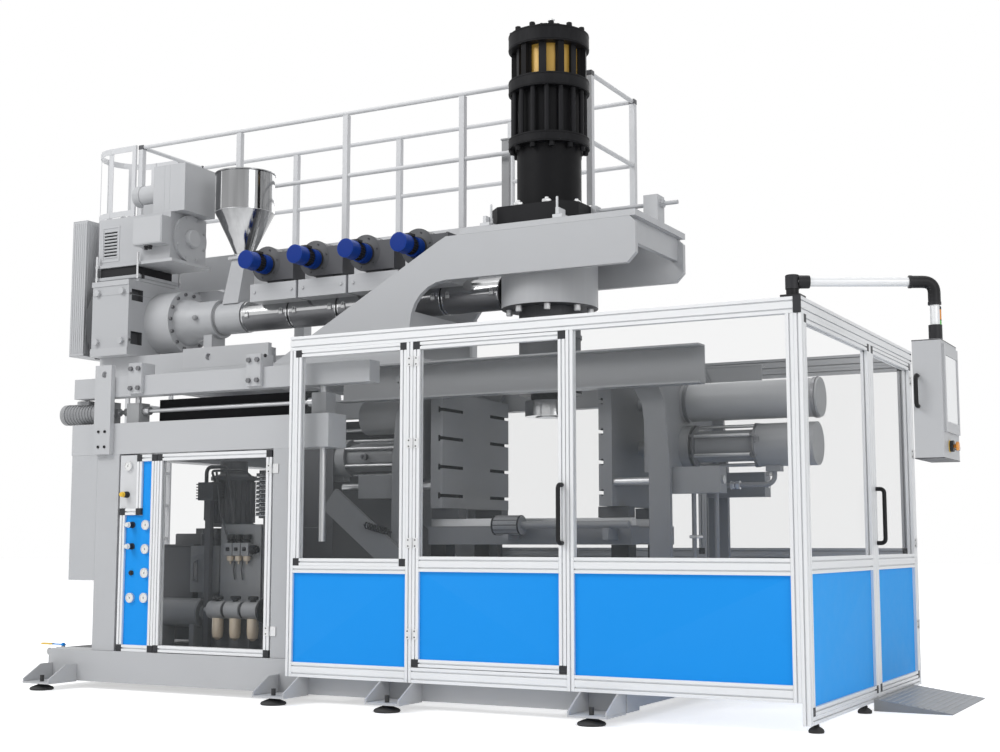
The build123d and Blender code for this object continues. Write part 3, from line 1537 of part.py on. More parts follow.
sheet_front = sheet_y[0] - seat
plate_front = sheet_y[0] - 8 - seat
gauge_places = (
    (-1679.0, 1516.0, plate_front), (-1517.0, 1112.0, sheet_front), (-1517.0, 950.0, sheet_front),
    (-1517.0, 789.0, sheet_front), (-1517.0, 622.0, sheet_front), (-1640.0, 620.0, sheet_front),
)
knob_places = (
    (-1690.0, 1320.0, plate_front),
    (-1640.0, 1113.0, sheet_front),
    (-1640.0, 967.0, sheet_front),
)
button_place = (-1640.0, 788.0, sheet_front)
collar_long = 12.0
button_collar = button_radius + 6

with BuildPart() as pressure_gauges:
    for x, z, face in gauge_places:
        rod_y(x, (face - gauge_deep, face), z, gauge_radius)
        rod_y(x, (face - gauge_deep - 1, face - gauge_deep + 3), z, gauge_radius - 5, mode=Mode.SUBTRACT)
    for x, z, face in knob_places:
        rod_y(x, (face - collar_long, face), z, knob_radius + 3)
        rod_y(x, (face - collar_long - 1, face + 1), z, 8.0 + running, mode=Mode.SUBTRACT)
    x, z, face = button_place
    rod_y(x, (face - collar_long, face), z, button_collar)
    rod_y(x, (face - collar_long - 1, face + 1), z, button_radius + seat, mode=Mode.SUBTRACT)
keep(pressure_gauges, "pressure_gauges")

for number, (x, z, face) in enumerate(knob_places, start=1):
    with BuildPart() as knob:
        front = face - collar_long - seat
        rod_y(x, (front - knob_long + 20, front), z, knob_radius)
        rod_y(x, (front - knob_long, front - knob_long + 21), z, knob_radius - 4)
        rod_y(x, (front - 1, face - 1), z, 8.0)
        block((x - 2, x + 2), (front - knob_long - 1.5, front - knob_long + 1), (z, z + knob_radius - 5))
    keep(knob, f"knob_{number}")

button_travel = 5.0
with BuildPart() as push_button:
    x, z, face = button_place
    rod_y(x, (face - collar_long - button_travel - 2, face - button_travel - 1), z, button_radius)
keep(push_button, "push_button")

# Cabinet door
cabinet_leaf = ((strip_right + door_gap, door_right), (cabinet_z[0] + door_gap, cabinet_z[1]))

with BuildPart() as cabinet_door_glass:
    sheet(cabinet_wall, *leaf_opening(cabinet_leaf))
keep(cabinet_door_glass, "cabinet_door_glass")

with BuildPart() as cabinet_door_frame:
    leaf_bars(cabinet_wall, "x", *cabinet_leaf)
    leaf_corners(cabinet_wall, *cabinet_leaf)
    for z in cabinet_hinge_z:
        block(
            (door_right - 40, door_right - 2),
            (cabinet_front - seat - leaf_thick, cabinet_front - seat),
            (z, z + hinge_high),
        )
        knuckle(cabinet_hinge, (-5, 7), (z + hinge_high / 2 + seat, z + hinge_high))
keep(cabinet_door_frame, "cabinet_door_frame")

with BuildPart() as tanks:
    # Behind the cabinet door
    rod_x((-1860.0, -1450.0), -620.0, 500.0, 100.0)
    rod_x((-1880.0, -1430.0), -620.0, 500.0, 60.0)
    for x in (-1800.0, -1510.0):
        block((x - 20, x + 20), (-690.0, -550.0), (base_top + seat, 420.0))
    block((-1640.0, -1380.0), (-560.0, -240.0), (640.0, 970.0))
    block((-1600.0, -1420.0), (-520.0, -280.0), (base_top + seat, 641.0))
    block((-1598.0, -1572.0), (-572.0, -559.0), (710.0, 870.0))
keep(tanks, "tanks")


unit_front = -606.0 - seat

with BuildPart() as pneumatic_units:
    block((-1330.0, -977.0), (-606.0, -600.0), (330.0, 1120.0))
    for x in (-1290.0, -1017.0):
        block((x - 20, x + 20), (-599.6, -560.0), (base_top + seat, 1120.0))
    for k in range(3):
        block((-1250.0 + 72 * k, -1250.0 + 72 * k + 64), (unit_front - 60, unit_front), (900.0, 1050.0))
        rod_z(-1218.0 + 72 * k, unit_front - 30, (862.0, 901.0), 24.0)
    for k in range(3):
        left = -1250.0 + 150 * k
        block((left, left + 130), (-860.0, -740.0), (470.0, 600.0))
        rod_z(left + 65, -800.0, (330.0, 471.0), 46.0)
    block((-1250.0, -960.0), (-739.0, -640.0), (base_top + seat, 560.0))
    block((-930.0, -840.0), (-700.0, -620.0), (1160.0, 1490.0))
    for k in range(10):
        block((-924.0, -846.0), (-740.0, -699.0), (1176.0 + 30 * k, 1198.0 + 30 * k))
    block((-905.0, -865.0), (-680.0, -640.0), (base_top + seat, 1160.5))
    block((-1470.0, -1335.0), (-700.0, -600.0), (1290.0, 1417.0))
    for k in range(6):
        block((-1478.0, -1327.0), (-710.0, -590.0), (1298.0 + 20 * k, 1306.0 + 20 * k))
    block((-1425.0, -1380.0), (-670.0, -630.0), (base_top + seat, 1291.0))
keep(pneumatic_units, "pneumatic_units")

# Inlet valve at the left end of the base
valve_y = -850.0
valve_z = 205.0
valve_x = -2560.0
lever_long = 210.0
with BuildPart() as inlet_valve:
    rod_x((base_left - 340, base_left - seat), valve_y, valve_z, 22.0)
    block((valve_x - 38, valve_x + 38), (valve_y - 34, valve_y + 34), (valve_z - 34, valve_z + 34))
    for x in (valve_x - 60, valve_x + 38):
        rod_x((x, x + 22), valve_y, valve_z, 30.0)
    rod_z(valve_x, valve_y, (valve_z + 33, valve_z + 44), 14.0)
keep(inlet_valve, "inlet_valve")

with BuildPart() as valve_lever:
    rod_z(valve_x, valve_y, (valve_z + 44 + seat, valve_z + 62), 16.0)
    block((valve_x - lever_long, valve_x), (valve_y - 11, valve_y + 11), (valve_z + 50, valve_z + 57))
keep(valve_lever, "valve_lever")

# Access ramp at the end door
with BuildPart() as access_ramp:
    for y in (ramp_y, (ramp_y[0], ramp_y[0] + 8), (ramp_y[1] - 8, ramp_y[1])):
        cheek = y[1] - y[0] < 100
        points = [(ramp_x[0], ramp_high), (ramp_x[1], 6.0), (ramp_x[1], 0.0), (ramp_x[0], ramp_high - 6)]
        if cheek:
            points = [(ramp_x[0], ramp_high), (ramp_x[1], 6.0), (ramp_x[1], 0.0), (ramp_x[0], 0.0)]
        outline_xz(points, y)
keep(access_ramp, "access_ramp")

# Operator panel on its swinging arm
arm_base_top = arm_z - 40.0
with BuildPart() as guard_fittings:
    leaf_corners(front_wall, *left_leaf)
    leaf_corners(end_wall, *end_leaf)
    for leaf in rear_leaves:
        leaf_corners(rear_wall, *leaf)
    # Caps on the ends of the end wall's top rail
    for y in (
        (guard_front - cap_deep - seat, guard_front - seat),
        (guard_rear + seat, guard_rear + cap_deep + seat),
    ):
        block((guard_right - profile, guard_right), y, top_rail)
    # Corners of the control strip
    for left in (strip_left, strip_right - profile):
        block(*cabinet_wall((left, left + profile), (cabinet_z[0], cabinet_z[0] + profile)))
    for left in (step_left, strip_right - profile):
        block(*cabinet_wall((left, left + profile), (cabinet_z[1] - profile, cabinet_z[1])))
    for left in (strip_left, step_left):
        block(*cabinet_wall((left, left + profile), (step_z, step_z + profile)))
    for z in hinge_z:
        block(
            (post_a_x[0] + 5, post_a_x[1] - 2),
            (guard_front - seat - leaf_thick, guard_front - seat),
            (z, z + hinge_high),
        )
        knuckle(front_hinge, (-5, 7), (z, z + hinge_high / 2))
        block(
            (guard_right + seat, guard_right + seat + leaf_thick),
            (guard_rear - profile + 2, guard_rear - 5),
            (z, z + hinge_high),
        )
        knuckle(end_hinge, (-7, 5), (z, z + hinge_high / 2))
    for z in cabinet_hinge_z:
        block(
            (right_column[0], right_column[0] + profile),
            (cabinet_front - leaf_thick, column_front - seat),
            (z, z + hinge_high),
        )
        knuckle(cabinet_hinge, (8, 7), (z, z + hinge_high / 2))
    block((arm_x - 55, arm_x + 55), (guard_front, guard_front + 110), (guard_top + seat, guard_top + 12))
    rod_z(arm_x, arm_y, (guard_top + 11, arm_base_top), 34.0)
keep(guard_fittings, "guard_fittings")

drop_x = arm_x + arm_long * cos(radians(arm_turn))
drop_y = arm_y + arm_long * sin(radians(arm_turn))

with BuildPart() as swing_arm:
    rod_z(arm_x, arm_y, (arm_base_top + seat, arm_z + 34), 38.0)
    pipe(
        [(arm_x, arm_y, arm_z), (drop_x, drop_y, arm_z), (drop_x, drop_y, drop_low + seat)],
        arm_radius,
        60.0,
    )
keep(swing_arm, "swing_arm")

panel_x = (drop_x - panel_deep / 2 - 10, drop_x + panel_deep / 2 - 10)
panel_y = (drop_y - panel_wide / 2, drop_y + panel_wide / 2)

with BuildPart() as operator_panel:
    block(panel_x, panel_y, panel_z)
    # Raised bezel round the screen
    block((panel_x[1] - 1, panel_x[1] + 12), (panel_y[0] + 20, panel_y[1] - 20), (1565.0, panel_z[1] - 25))
    block(
        (panel_x[1] + 3, panel_x[1] + 13),
        (panel_y[0] + 50, panel_y[1] - 50),
        (1620.0, panel_z[1] - 80),
        mode=Mode.SUBTRACT,
    )
keep(operator_panel, "operator_panel")

with BuildPart() as panel_screen:
    block(
        (panel_x[1] + 3 + seat, panel_x[1] + 8),
        (panel_y[0] + 50 + seat, panel_y[1] - 50 - seat),
        (1620.0 + seat, panel_z[1] - 80 - seat),
    )
keep(panel_screen, "panel_screen")

stop_y = drop_y - 60.0
stop_z = 1495.0
button_row = [drop_y + 20 + 42 * k for k in range(4)]

with BuildPart() as emergency_stop:
    rod_x((panel_x[1] + 12, panel_x[1] + 40), stop_y, stop_z, 10.0)
    rod_x((panel_x[1] + 32, panel_x[1] + 50), stop_y, stop_z, 24.0)
keep(emergency_stop, "emergency_stop")

with BuildPart() as panel_fittings:
    rod_z(drop_x, drop_y, (panel_z[1] + seat, drop_low), 36.0)
    rod_x((panel_x[1] + seat, panel_x[1] + 22), stop_y, stop_z, 30.0)
    rod_x((panel_x[1] + 4, panel_x[1] + 23), stop_y, stop_z, 10.0 + seat, mode=Mode.SUBTRACT)
    for y in button_row:
        rod_x((panel_x[1] + seat, panel_x[1] + 12), y, stop_z, 12.0)
    bent_handle(
        Plane((drop_x - 60, panel_y[0] - seat, 1700.0), x_dir=(0, -1, 0), z_dir=(-1, 0, 0)),
        45.0, 160.0, 11.0, 22.0,
    )
    y = drop_y + 90.0
    rod_z(drop_x, y, (panel_z[1] + seat, 2110.0), 12.0)
    rod_z(drop_x, y, (2109.0, 2250.0), 16.0)
    rod_z(drop_x, y, (2249.0, 2268.0), 17.0)
keep(panel_fittings, "panel_fittings")
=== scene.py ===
import bmesh
import bpy
import json
from math import acos, cos, hypot, pi, radians, sin, sqrt, tan
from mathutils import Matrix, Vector
from types import SimpleNamespace


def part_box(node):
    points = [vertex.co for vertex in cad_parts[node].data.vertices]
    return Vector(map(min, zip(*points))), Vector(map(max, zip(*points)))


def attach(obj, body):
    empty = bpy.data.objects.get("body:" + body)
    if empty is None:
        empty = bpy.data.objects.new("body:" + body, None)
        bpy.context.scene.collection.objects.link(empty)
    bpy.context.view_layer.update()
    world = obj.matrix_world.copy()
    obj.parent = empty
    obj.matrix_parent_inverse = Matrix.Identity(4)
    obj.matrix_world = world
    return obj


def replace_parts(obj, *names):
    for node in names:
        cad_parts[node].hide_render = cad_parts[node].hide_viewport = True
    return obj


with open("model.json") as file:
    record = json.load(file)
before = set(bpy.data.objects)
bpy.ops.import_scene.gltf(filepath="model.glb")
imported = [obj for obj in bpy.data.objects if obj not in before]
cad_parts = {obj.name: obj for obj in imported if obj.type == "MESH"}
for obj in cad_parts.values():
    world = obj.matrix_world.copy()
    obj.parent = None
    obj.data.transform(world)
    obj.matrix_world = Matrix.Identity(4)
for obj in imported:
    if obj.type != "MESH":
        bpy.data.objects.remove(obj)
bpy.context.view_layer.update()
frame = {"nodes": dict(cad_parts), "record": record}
NODES = frame["nodes"]
BODY = {node: body for body, names in frame["record"]["behaviour"]["bodies"].items() for node in names}

# Directions
UP, DOWN = (0, 0, 1), (0, 0, -1)
RIGHT, LEFT = (1, 0, 0), (-1, 0, 0)
FRONT, BACK = (0, -1, 0), (0, 1, 0)

# Places that several pieces share, in metres
AXIS = 2.71  # height of the extruder's axis
HEAD = 0.97  # x of the head's axis and of the clamp's middle
HOPPER = -1.657  # x of the hopper's axis
MOTOR = (-0.11, 3.345)  # y and z of the drive motor's axis
FAN_MOTOR = (-0.125, 3.735)  # and of its fan's motor
COVER_START = -1.59  # left end of the barrel covers
COVER_PITCH = 0.44
BLOWERS = [COVER_START + COVER_PITCH * (k + 0.5) + 0.08 for k in range(4)]  # x of their axes
PLATEN_REACH = 0.568  # from the head's axis to a platen's face
PLATEN_SLOTS = (1.303, 1.494, 1.685, 1.876)  # heights of the slots in it
CLAMP = 1.6  # height of the clamp cylinders' axis
SIDE_CYLINDER = (-0.47, 1.104)  # y and z of its axis
LIFT_Y, LIFT_Z = 1.08, 1.9  # axes of the two lift motors
INLET = (-0.85, 0.205)  # y and z of the inlet valve's axis


# Materials

def fill(node, values):
    """Set inputs of a shader node."""
    for name, value in values.items():
        node.inputs[name].default_value = value
    return node


def add_node(tree, kind, values=None):
    return fill(tree.nodes.new("ShaderNode" + kind), values or {})


def surface(name, colour, edge, metallic=0, rough=0.4, mottle_and_reflection=0.03, rough_vary=0.08, scale=3.0, bump=0.06,
        grain=260.0, stretch=(1.0, 1.0, 1.0), edge_mix=0.5, coat=0, alpha=1.0, shine=0.5):
    """A painted, cast or machined surface: mottled colour, uneven gloss, fine grain and worn edges; on
    polished metal the mottle is stretched into streaks of painted reflection.
    """
    made = bpy.data.materials.new(name)
    made.use_nodes = True
    tree = made.node_tree
    link = tree.links.new
    shader = fill(tree.nodes["Principled BSDF"], {"Metallic": metallic, "Alpha": alpha,
        "Coat Weight": coat, "Specular IOR Level": shine})
    place = add_node(tree, "TexCoord")
    mapping = add_node(tree, "Mapping", {"Scale": stretch})
    link(place.outputs["Object"], mapping.inputs["Vector"])

    def noise(size, detail):
        node = add_node(tree, "TexNoise", {"Scale": size, "Detail": detail})
        link(mapping.outputs["Vector"], node.inputs["Vector"])
        return node.outputs["Fac"]

    def mix(first, second, factor):
        """Blend a colour or a colour socket into a second colour."""
        node = add_node(tree, "Mix")
        node.data_type = "RGBA"
        if isinstance(first, tuple):
            node.inputs["A"].default_value = (*first, 1.0)
        else:
            link(first, node.inputs["A"])
        node.inputs["B"].default_value = (*second, 1.0)
        link(factor, node.inputs["Factor"])
        return node.outputs["Result"]

    # darker end of the mottle; stretched into streaks it is painted reflection
    dark = tuple(max(0, c * (1 - 2 * mottle_and_reflection)) for c in colour)
    tone = mix(colour, dark, noise(scale, 4.0))
    geometry = add_node(tree, "NewGeometry")
    wear = add_node(tree, "MapRange", {"From Min": 0.53, "From Max": 0.62, "To Max": edge_mix})
    link(geometry.outputs["Pointiness"], wear.inputs["Value"])
    tone = mix(tone, edge, wear.outputs["Result"])
    link(tone, shader.inputs["Base Color"])
    low, high = max(0.02, rough - rough_vary), min(1.0, rough + rough_vary)
    gloss = add_node(tree, "MapRange", {"To Min": low, "To Max": high})
    link(noise(scale * 4, 3.0), gloss.inputs["Value"])
    link(gloss.outputs["Result"], shader.inputs["Roughness"])
    relief = add_node(tree, "Bump", {"Strength": bump, "Distance": 0.001})
    link(noise(grain, 2.0), relief.inputs["Height"])
    link(relief.outputs["Normal"], shader.inputs["Normal"])
    return made


# Each material: its name, its colour, the colour of its edges, and what differs from the defaults
M = {
    "paint": surface("grey_paint", (0.5, 0.507, 0.52), (0.6, 0.605, 0.615), rough=0.45, edge_mix=0.3),
    "light": surface("light_grey_paint", (0.68, 0.686, 0.7), (0.68, 0.685, 0.69), rough=0.45, edge_mix=0.3),
    # painted shade: a darker copy of the grey paint for parts within the guard
    "inside_shade": surface("shaded_inner_grey", (0.235, 0.239, 0.247), (0.34, 0.345, 0.35), rough=0.5,
        edge_mix=0.35, shine=0.25),
    # painted shade: a near-black copy of the grey paint for deep places and the cabinet
    "dark": surface("shaded_dark_grey", (0.1, 0.102, 0.107), (0.18, 0.18, 0.19), rough=0.55,
        edge_mix=0.35, shine=0.2),
    # painted shade: a darker copy of the grey paint for parts in shade
    "mid_shade": surface("shaded_mid_grey", (0.3, 0.304, 0.312), (0.45, 0.455, 0.46), rough=0.42,
        edge_mix=0.35, shine=0.3),
    "drum": surface("dark_grey_paint", (0.075, 0.077, 0.082), (0.16, 0.16, 0.17), rough=0.45, edge_mix=0.4,
        shine=0.25),
    "black_paint": surface("black_paint", (0.006, 0.006, 0.007), (0.03, 0.03, 0.033), rough=0.55,
        edge_mix=0.4, shine=0.12),
    "black": surface("black_plastic", (0.012, 0.012, 0.013), (0.05, 0.05, 0.055), rough=0.45, grain=500.0,
        bump=0.12, shine=0.2),
    "corner": surface("corner_plastic", (0.03, 0.031, 0.034), (0.07, 0.07, 0.075), rough=0.5, grain=500.0,
        bump=0.12, shine=0.2),
    "aluminium": surface("profile_aluminium", (0.8, 0.81, 0.82), (0.92, 0.92, 0.92), metallic=0.25,
        rough=0.42, stretch=(8, 8, 8), bump=0.03, mottle_and_reflection=0.02, edge_mix=0.3),
    # painted shade: a darker copy of the aluminium for the back of the guard
    "shaded_rear_aluminium": surface("shaded_rear_aluminium", (0.44, 0.445, 0.455), (0.58, 0.58, 0.58), metallic=0.25,
        rough=0.45, stretch=(8, 8, 8), bump=0.03, edge_mix=0.3),
    "zinc": surface("zinc_plate", (0.62, 0.625, 0.63), (0.8, 0.8, 0.8), metallic=0.55, bump=0.05),
    "blue": surface("blue_panel", (0.006, 0.315, 0.89), (0.04, 0.36, 0.92), rough=0.6, mottle_and_reflection=0.012,
        shine=0.22),
    # painted light: a brighter copy of the blue for the end panels
    "brightened_blue": surface("brightened_blue_panel", (0.02, 0.4, 1.0), (0.08, 0.45, 1.0), rough=0.6, mottle_and_reflection=0.012,
        shine=0.22),
    "steel": surface("machined_steel", (0.5, 0.505, 0.515), (0.75, 0.75, 0.75), metallic=0.75, rough=0.32,
        stretch=(1, 1, 14), bump=0.05, grain=120.0, edge_mix=0.3),
    "dark_steel": surface("dark_steel", (0.16, 0.162, 0.17), (0.32, 0.32, 0.33), metallic=0.6, rough=0.38,
        bump=0.05, grain=160.0, edge_mix=0.35),
    # the strong mottle, stretched along the axis, paints reflection streaks on the covers
    "chrome": surface("polished_cover", (0.5, 0.505, 0.515), (0.8, 0.8, 0.8), metallic=1.0, rough=0.16,
        rough_vary=0.05, mottle_and_reflection=0.14, bump=0.02, scale=1.6, stretch=(0.5, 9, 9), edge_mix=0.3),
    # the strong mottle, stretched upright, paints reflection streaks on the hopper
    "mirror": surface("mirror_steel_with_painted_reflection", (0.5, 0.505, 0.515), (0.9, 0.9, 0.9), metallic=1.0, rough=0.11,
        rough_vary=0.04, mottle_and_reflection=0.42, bump=0.015, scale=2.2, stretch=(4.5, 4.5, 0.25), edge_mix=0.3),
    "ochre": surface("ochre_rod", (0.47, 0.24, 0.012), (0.6, 0.4, 0.1), metallic=0.15, rough=0.34),
    "motor_blue": surface("motor_blue", (0.002, 0.03, 0.235), (0.01, 0.06, 0.32), rough=0.5, shine=0.18),
    "orange": surface("orange_plastic", (0.8, 0.28, 0.015), (0.9, 0.45, 0.1), rough=0.32, bump=0.03,
        coat=0.25),
    "yellow": surface("yellow_plastic", (0.84, 0.52, 0.02), (0.9, 0.65, 0.2), rough=0.36, bump=0.03,
        coat=0.2),
    "green": surface("green_lens", (0.1, 0.56, 0.07), (0.3, 0.7, 0.25), rough=0.22, bump=0.01, coat=0.4),
    "amber": surface("amber_bowl", (0.62, 0.5, 0.36), (0.75, 0.66, 0.52), rough=0.22, bump=0.01, coat=0.4),
    "dial": surface("dial_face", (0.8, 0.8, 0.78), (0.9, 0.9, 0.9), rough=0.36, bump=0.01, coat=0.3),
    "screen": surface("screen_glass", (0.84, 0.86, 0.87), (0.9, 0.9, 0.9), rough=0.14, bump=0.01, mottle_and_reflection=0.01,
        coat=0.5),
    "clear": surface("clear_sheet", (0.2, 0.215, 0.22), (0.3, 0.32, 0.32), rough=0.08, rough_vary=0.02,
        alpha=0.06, bump=0.01, shine=0.25),
    "rubber": surface("rubber", (0.016, 0.016, 0.017), (0.05, 0.05, 0.05), rough=0.65, grain=400.0, bump=0.2),
    # painted shadow: near black where there is only shade
    "shadow": surface("painted_shadow", (0.018, 0.018, 0.02), (0.05, 0.05, 0.05), rough=0.8, bump=0.1,
        shine=0.05),
}


# Pieces taken over from the solids of the frame

def islands(node):
    """The separate solids of a node, each with its box, its corner points and the rings of its faces."""
    mesh = NODES[node].data
    keys, index, corners = {}, [], []
    for vertex in mesh.vertices:
        key = tuple(round(c, 5) for c in vertex.co)
        if key not in keys:
            keys[key] = len(corners)
            corners.append(vertex.co.copy())
        index.append(keys[key])
    parent = list(range(len(corners)))

    def root(i):
        while parent[i] != i:
            parent[i] = parent[parent[i]]
            i = parent[i]
        return i

    faces = []
    for face in mesh.polygons:
        ring = [index[v] for v in face.vertices]
        if len(set(ring)) < 3:
            continue
        faces.append(ring)
        for a, b in zip(ring, ring[1:]):
            parent[root(a)] = root(b)
    groups = {}
    for ring in faces:
        groups.setdefault(root(ring[0]), []).append(ring)
    found = []
    for rings in groups.values():
        used = sorted({i for ring in rings for i in ring})
        low = Vector([min(corners[i][k] for i in used) for k in range(3)])
        high = Vector([max(corners[i][k] for i in used) for k in range(3)])
        found.append(SimpleNamespace(low=low, high=high, size=high - low, mid=(low + high) / 2,
            points=[corners[i] for i in used], used=used, rings=rings))
    return found


def place_in_scene(name, data):
    obj = bpy.data.objects.new(name, data)
    bpy.context.scene.collection.objects.link(obj)
    return obj


def add_object(name, mesh, materials, body, bevel=0, segments=2, smooth=38.0):
    """A mesh as an object that rides on a body, smooth up to an angle and with soft edges."""
    obj = place_in_scene(name, mesh)
    for material in materials:
        mesh.materials.append(M[material])
    mesh.shade_smooth()
    mesh.set_sharp_from_angle(angle=radians(smooth))
    if bevel:
        soft = obj.modifiers.new("bevel", "BEVEL")
        soft.width = bevel
        soft.segments = segments
        soft.limit_method = "ANGLE"
        soft.angle_limit = radians(34)
        soft.harden_normals = True
        soft.use_clamp_overlap = True
    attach(obj, body)
    return obj


MANY_POINTS = 60  # a solid with more points has round forms and keeps its mesh as it is


def dress(node, pick, bevel=0.0015):
    """Show a node's solids with soft edges; pick names the material of a piece or of each of its faces."""
    rule = pick if callable(pick) else lambda piece: pick
    parts = {"soft": bmesh.new(), "plain": bmesh.new()}
    slots = []
    for piece in islands(node):
        choice = rule(piece)
        if choice is None:
            continue
        shape = bmesh.new()
        lookup = {i: shape.verts.new(point) for i, point in zip(piece.used, piece.points)}
        for ring in piece.rings:
            if shape.faces.get([lookup[i] for i in ring]) is None:
                face = shape.faces.new([lookup[i] for i in ring])
                face.normal_update()
                name = choice(face.calc_center_median(), face) if callable(choice) else choice
                if name is None:
                    shape.faces.remove(face)
                    continue
                if name not in slots:
                    slots.append(name)
                face.material_index = slots.index(name)
        kind = "plain" if len(shape.verts) > MANY_POINTS else "soft"
        if kind == "soft":
            bmesh.ops.dissolve_limit(shape, angle_limit=radians(0.6), verts=shape.verts, edges=shape.edges,
                delimit={"MATERIAL"})
        mesh = bpy.data.meshes.new("piece")
        shape.to_mesh(mesh)
        shape.free()
        parts[kind].from_mesh(mesh)
        bpy.data.meshes.remove(mesh)
    made = []
    for kind, shape in parts.items():
        if len(shape.verts):
            name = f"{node}_{kind}"
            mesh = bpy.data.meshes.new(name)
            shape.to_mesh(mesh)
            made.append(add_object(name, mesh, slots, BODY[node], bevel if kind == "soft" else 0))
        shape.free()
    if made:
        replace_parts(made[0], node)


# Forms for the pieces that are made here

def around(count, first=0):
    """The angles of equal steps round a circle, from a first one in degrees."""
    return [radians(first + 360 * k / count) for k in range(count)]


def polar(axis, along, centre, radius, angle, shift=0):
    """A point at a radius and an angle round an axis; shift moves it along the tangent."""
    u = centre[0] + radius * cos(angle) - shift * sin(angle)
    w = centre[1] + radius * sin(angle) + shift * cos(angle)
    return {"x": (along, u, w), "y": (u, along, w), "z": (u, w, along)}[axis]


def circle(centre, radius, across, other, count):
    return [centre + radius * (cos(a) * across + sin(a) * other) for a in around(count)]


class Shape:
    """Mesh code for one piece: forms are added one by one and become one object."""

    def __init__(self):
        self.mesh = bmesh.new()

    def loft(self, rings, closed=False):
        """Rings of points joined to a skin, with flat ends unless it closes on itself."""
        count = len(rings[0])
        corners = [self.mesh.verts.new(point) for ring in rings for point in ring]
        faces = []
        for k in range(len(rings) if closed else len(rings) - 1):
            a, b = k * count, ((k + 1) % len(rings)) * count
            faces += [(a + i, a + (i + 1) % count, b + (i + 1) % count, b + i) for i in range(count)]
        if not closed:
            faces.append(tuple(reversed(range(count))))
            faces.append(tuple(range(len(corners) - count, len(corners))))
        for face in faces:
            self.mesh.faces.new([corners[i] for i in face])

    def box(self, low, high, cut=0):
        """A box, with its upper and lower edges cut back."""
        (a, b, c), (d, e, f) = low, high

        def ring(z, s):
            return [(a + s, b + s, z), (d - s, b + s, z), (d - s, e - s, z), (a + s, e - s, z)]
        if cut:
            self.loft([ring(c, cut), ring(c + cut, 0), ring(f - cut, 0), ring(f, cut)])
        else:
            self.loft([ring(c, 0), ring(f, 0)])

    def slab(self, points, low, high):
        """An outline in x and y between two heights."""
        self.loft([[(x, y, z) for x, y in points] for z in (low, high)])

    def turn(self, base, way, profile, count=24, closed=False):
        """A turned form; the profile gives radius and rise along the way."""
        base, way = Vector(base), Vector(way).normalized()
        across = way.orthogonal().normalized()
        other = way.cross(across)
        rings = [circle(base + way * rise, radius, across, other, count) for radius, rise in profile]
        self.loft(rings, closed)

    def rod(self, base, way, radius, long, count):
        self.turn(base, way, [(radius, 0), (radius, long)], count)

    def band(self, base, way, low, high, wide, count, lip=0.002):
        """A raised band with slanted edges, from its low to its high radius."""
        self.turn(base, way, [(low, 0), (high, lip), (high, wide - lip), (low, wide)], count)

    def ribs(self, axis, ends, centre, angles, profile):
        """Ribs along an axis; the profile gives radius and shift along the tangent."""
        for a in angles:
            self.loft([[polar(axis, end, centre, r, a, t) for r, t in profile] for end in ends])

    def wedges(self, axis, ends, centre, angles, profile):
        """Ribs along an axis; the profile gives radius and angle."""
        for a in angles:
            self.loft([[polar(axis, end, centre, r, a + t) for r, t in profile] for end in ends])

    def nut(self, base, way, flats, high, stud=0):
        """A chamfered hexagon on a washer, with the end of its stud."""
        r = flats / sqrt(3)
        self.rod(base, way, flats * 0.62, high * 0.12, 20)
        hexagon = [(r * 0.92, high * 0.12), (r, high * 0.22), (r, high * 0.86), (r * 0.84, high)]
        self.turn(base, way, hexagon, 6)
        if stud:
            self.turn(base, way, [(stud, high * 0.5), (stud, high * 1.35), (stud * 0.75, high * 1.45)], 14)

    def cap_screw(self, base, way, radius, high):
        """A round head with its socket."""
        head = [(radius, 0), (radius, high * 0.85), (radius * 0.9, high)]
        socket = [(radius * 0.55, high), (radius * 0.5, high * 0.45)]
        self.turn(base, way, head + socket, 16)

    def tube(self, path, radius, bend=0, count=16):
        """A round bar along a line with rounded corners."""
        path = [Vector(p) for p in path]
        line = [path[0]]
        for before, corner, after in zip(path[:-2], path[1:-1], path[2:]):
            a, b = (before - corner).normalized(), (after - corner).normalized()
            half = acos(max(-1.0, min(1.0, a.dot(b)))) / 2
            reach = min(bend / tan(half), (before - corner).length * 0.49, (after - corner).length * 0.49)
            start, end = corner + a * reach, corner + b * reach
            for t in [k / 8 for k in range(9)]:
                line.append((1 - t) ** 2 * start + 2 * t * (1 - t) * corner + t * t * end)
        line.append(path[-1])
        across = (line[1] - line[0]).normalized().orthogonal().normalized()
        rings = []
        for k, point in enumerate(line):
            ahead = (line[min(k + 1, len(line) - 1)] - line[max(k - 1, 0)]).normalized()
            across = (across - ahead * across.dot(ahead)).normalized()
            rings.append(circle(point, radius, across, ahead.cross(across), count))
        self.loft(rings)

    def coil(self, start, end, radius, wire, turns, count=8):
        start, end = Vector(start), Vector(end)
        way = (end - start).normalized()
        across = way.orthogonal().normalized()
        other = way.cross(across)
        rings = []
        steps = int(turns * 14)
        for k in range(steps + 1):
            angle = 2 * pi * turns * k / steps
            out = cos(angle) * across + sin(angle) * other
            rings.append(circle(start + (end - start) * k / steps + out * radius, wire, out, way, count))
        self.loft(rings)

    def done(self, name, material, body="machine", **looks):
        bmesh.ops.recalc_face_normals(self.mesh, faces=self.mesh.faces)
        mesh = bpy.data.meshes.new(name)
        self.mesh.to_mesh(mesh)
        self.mesh.free()
        return add_object(name, mesh, [material], body, **looks)


# Which material each solid, or each face of it, is shown in. The limits tell the solids of a node apart.

PROFILE = 0.045  # side of the guard's profiles and of their corner cubes


def corner_cube(piece):
    return all(abs(s - PROFILE) < 0.002 for s in piece.size)


def tiny(piece, limit):
    return max(piece.size) < limit


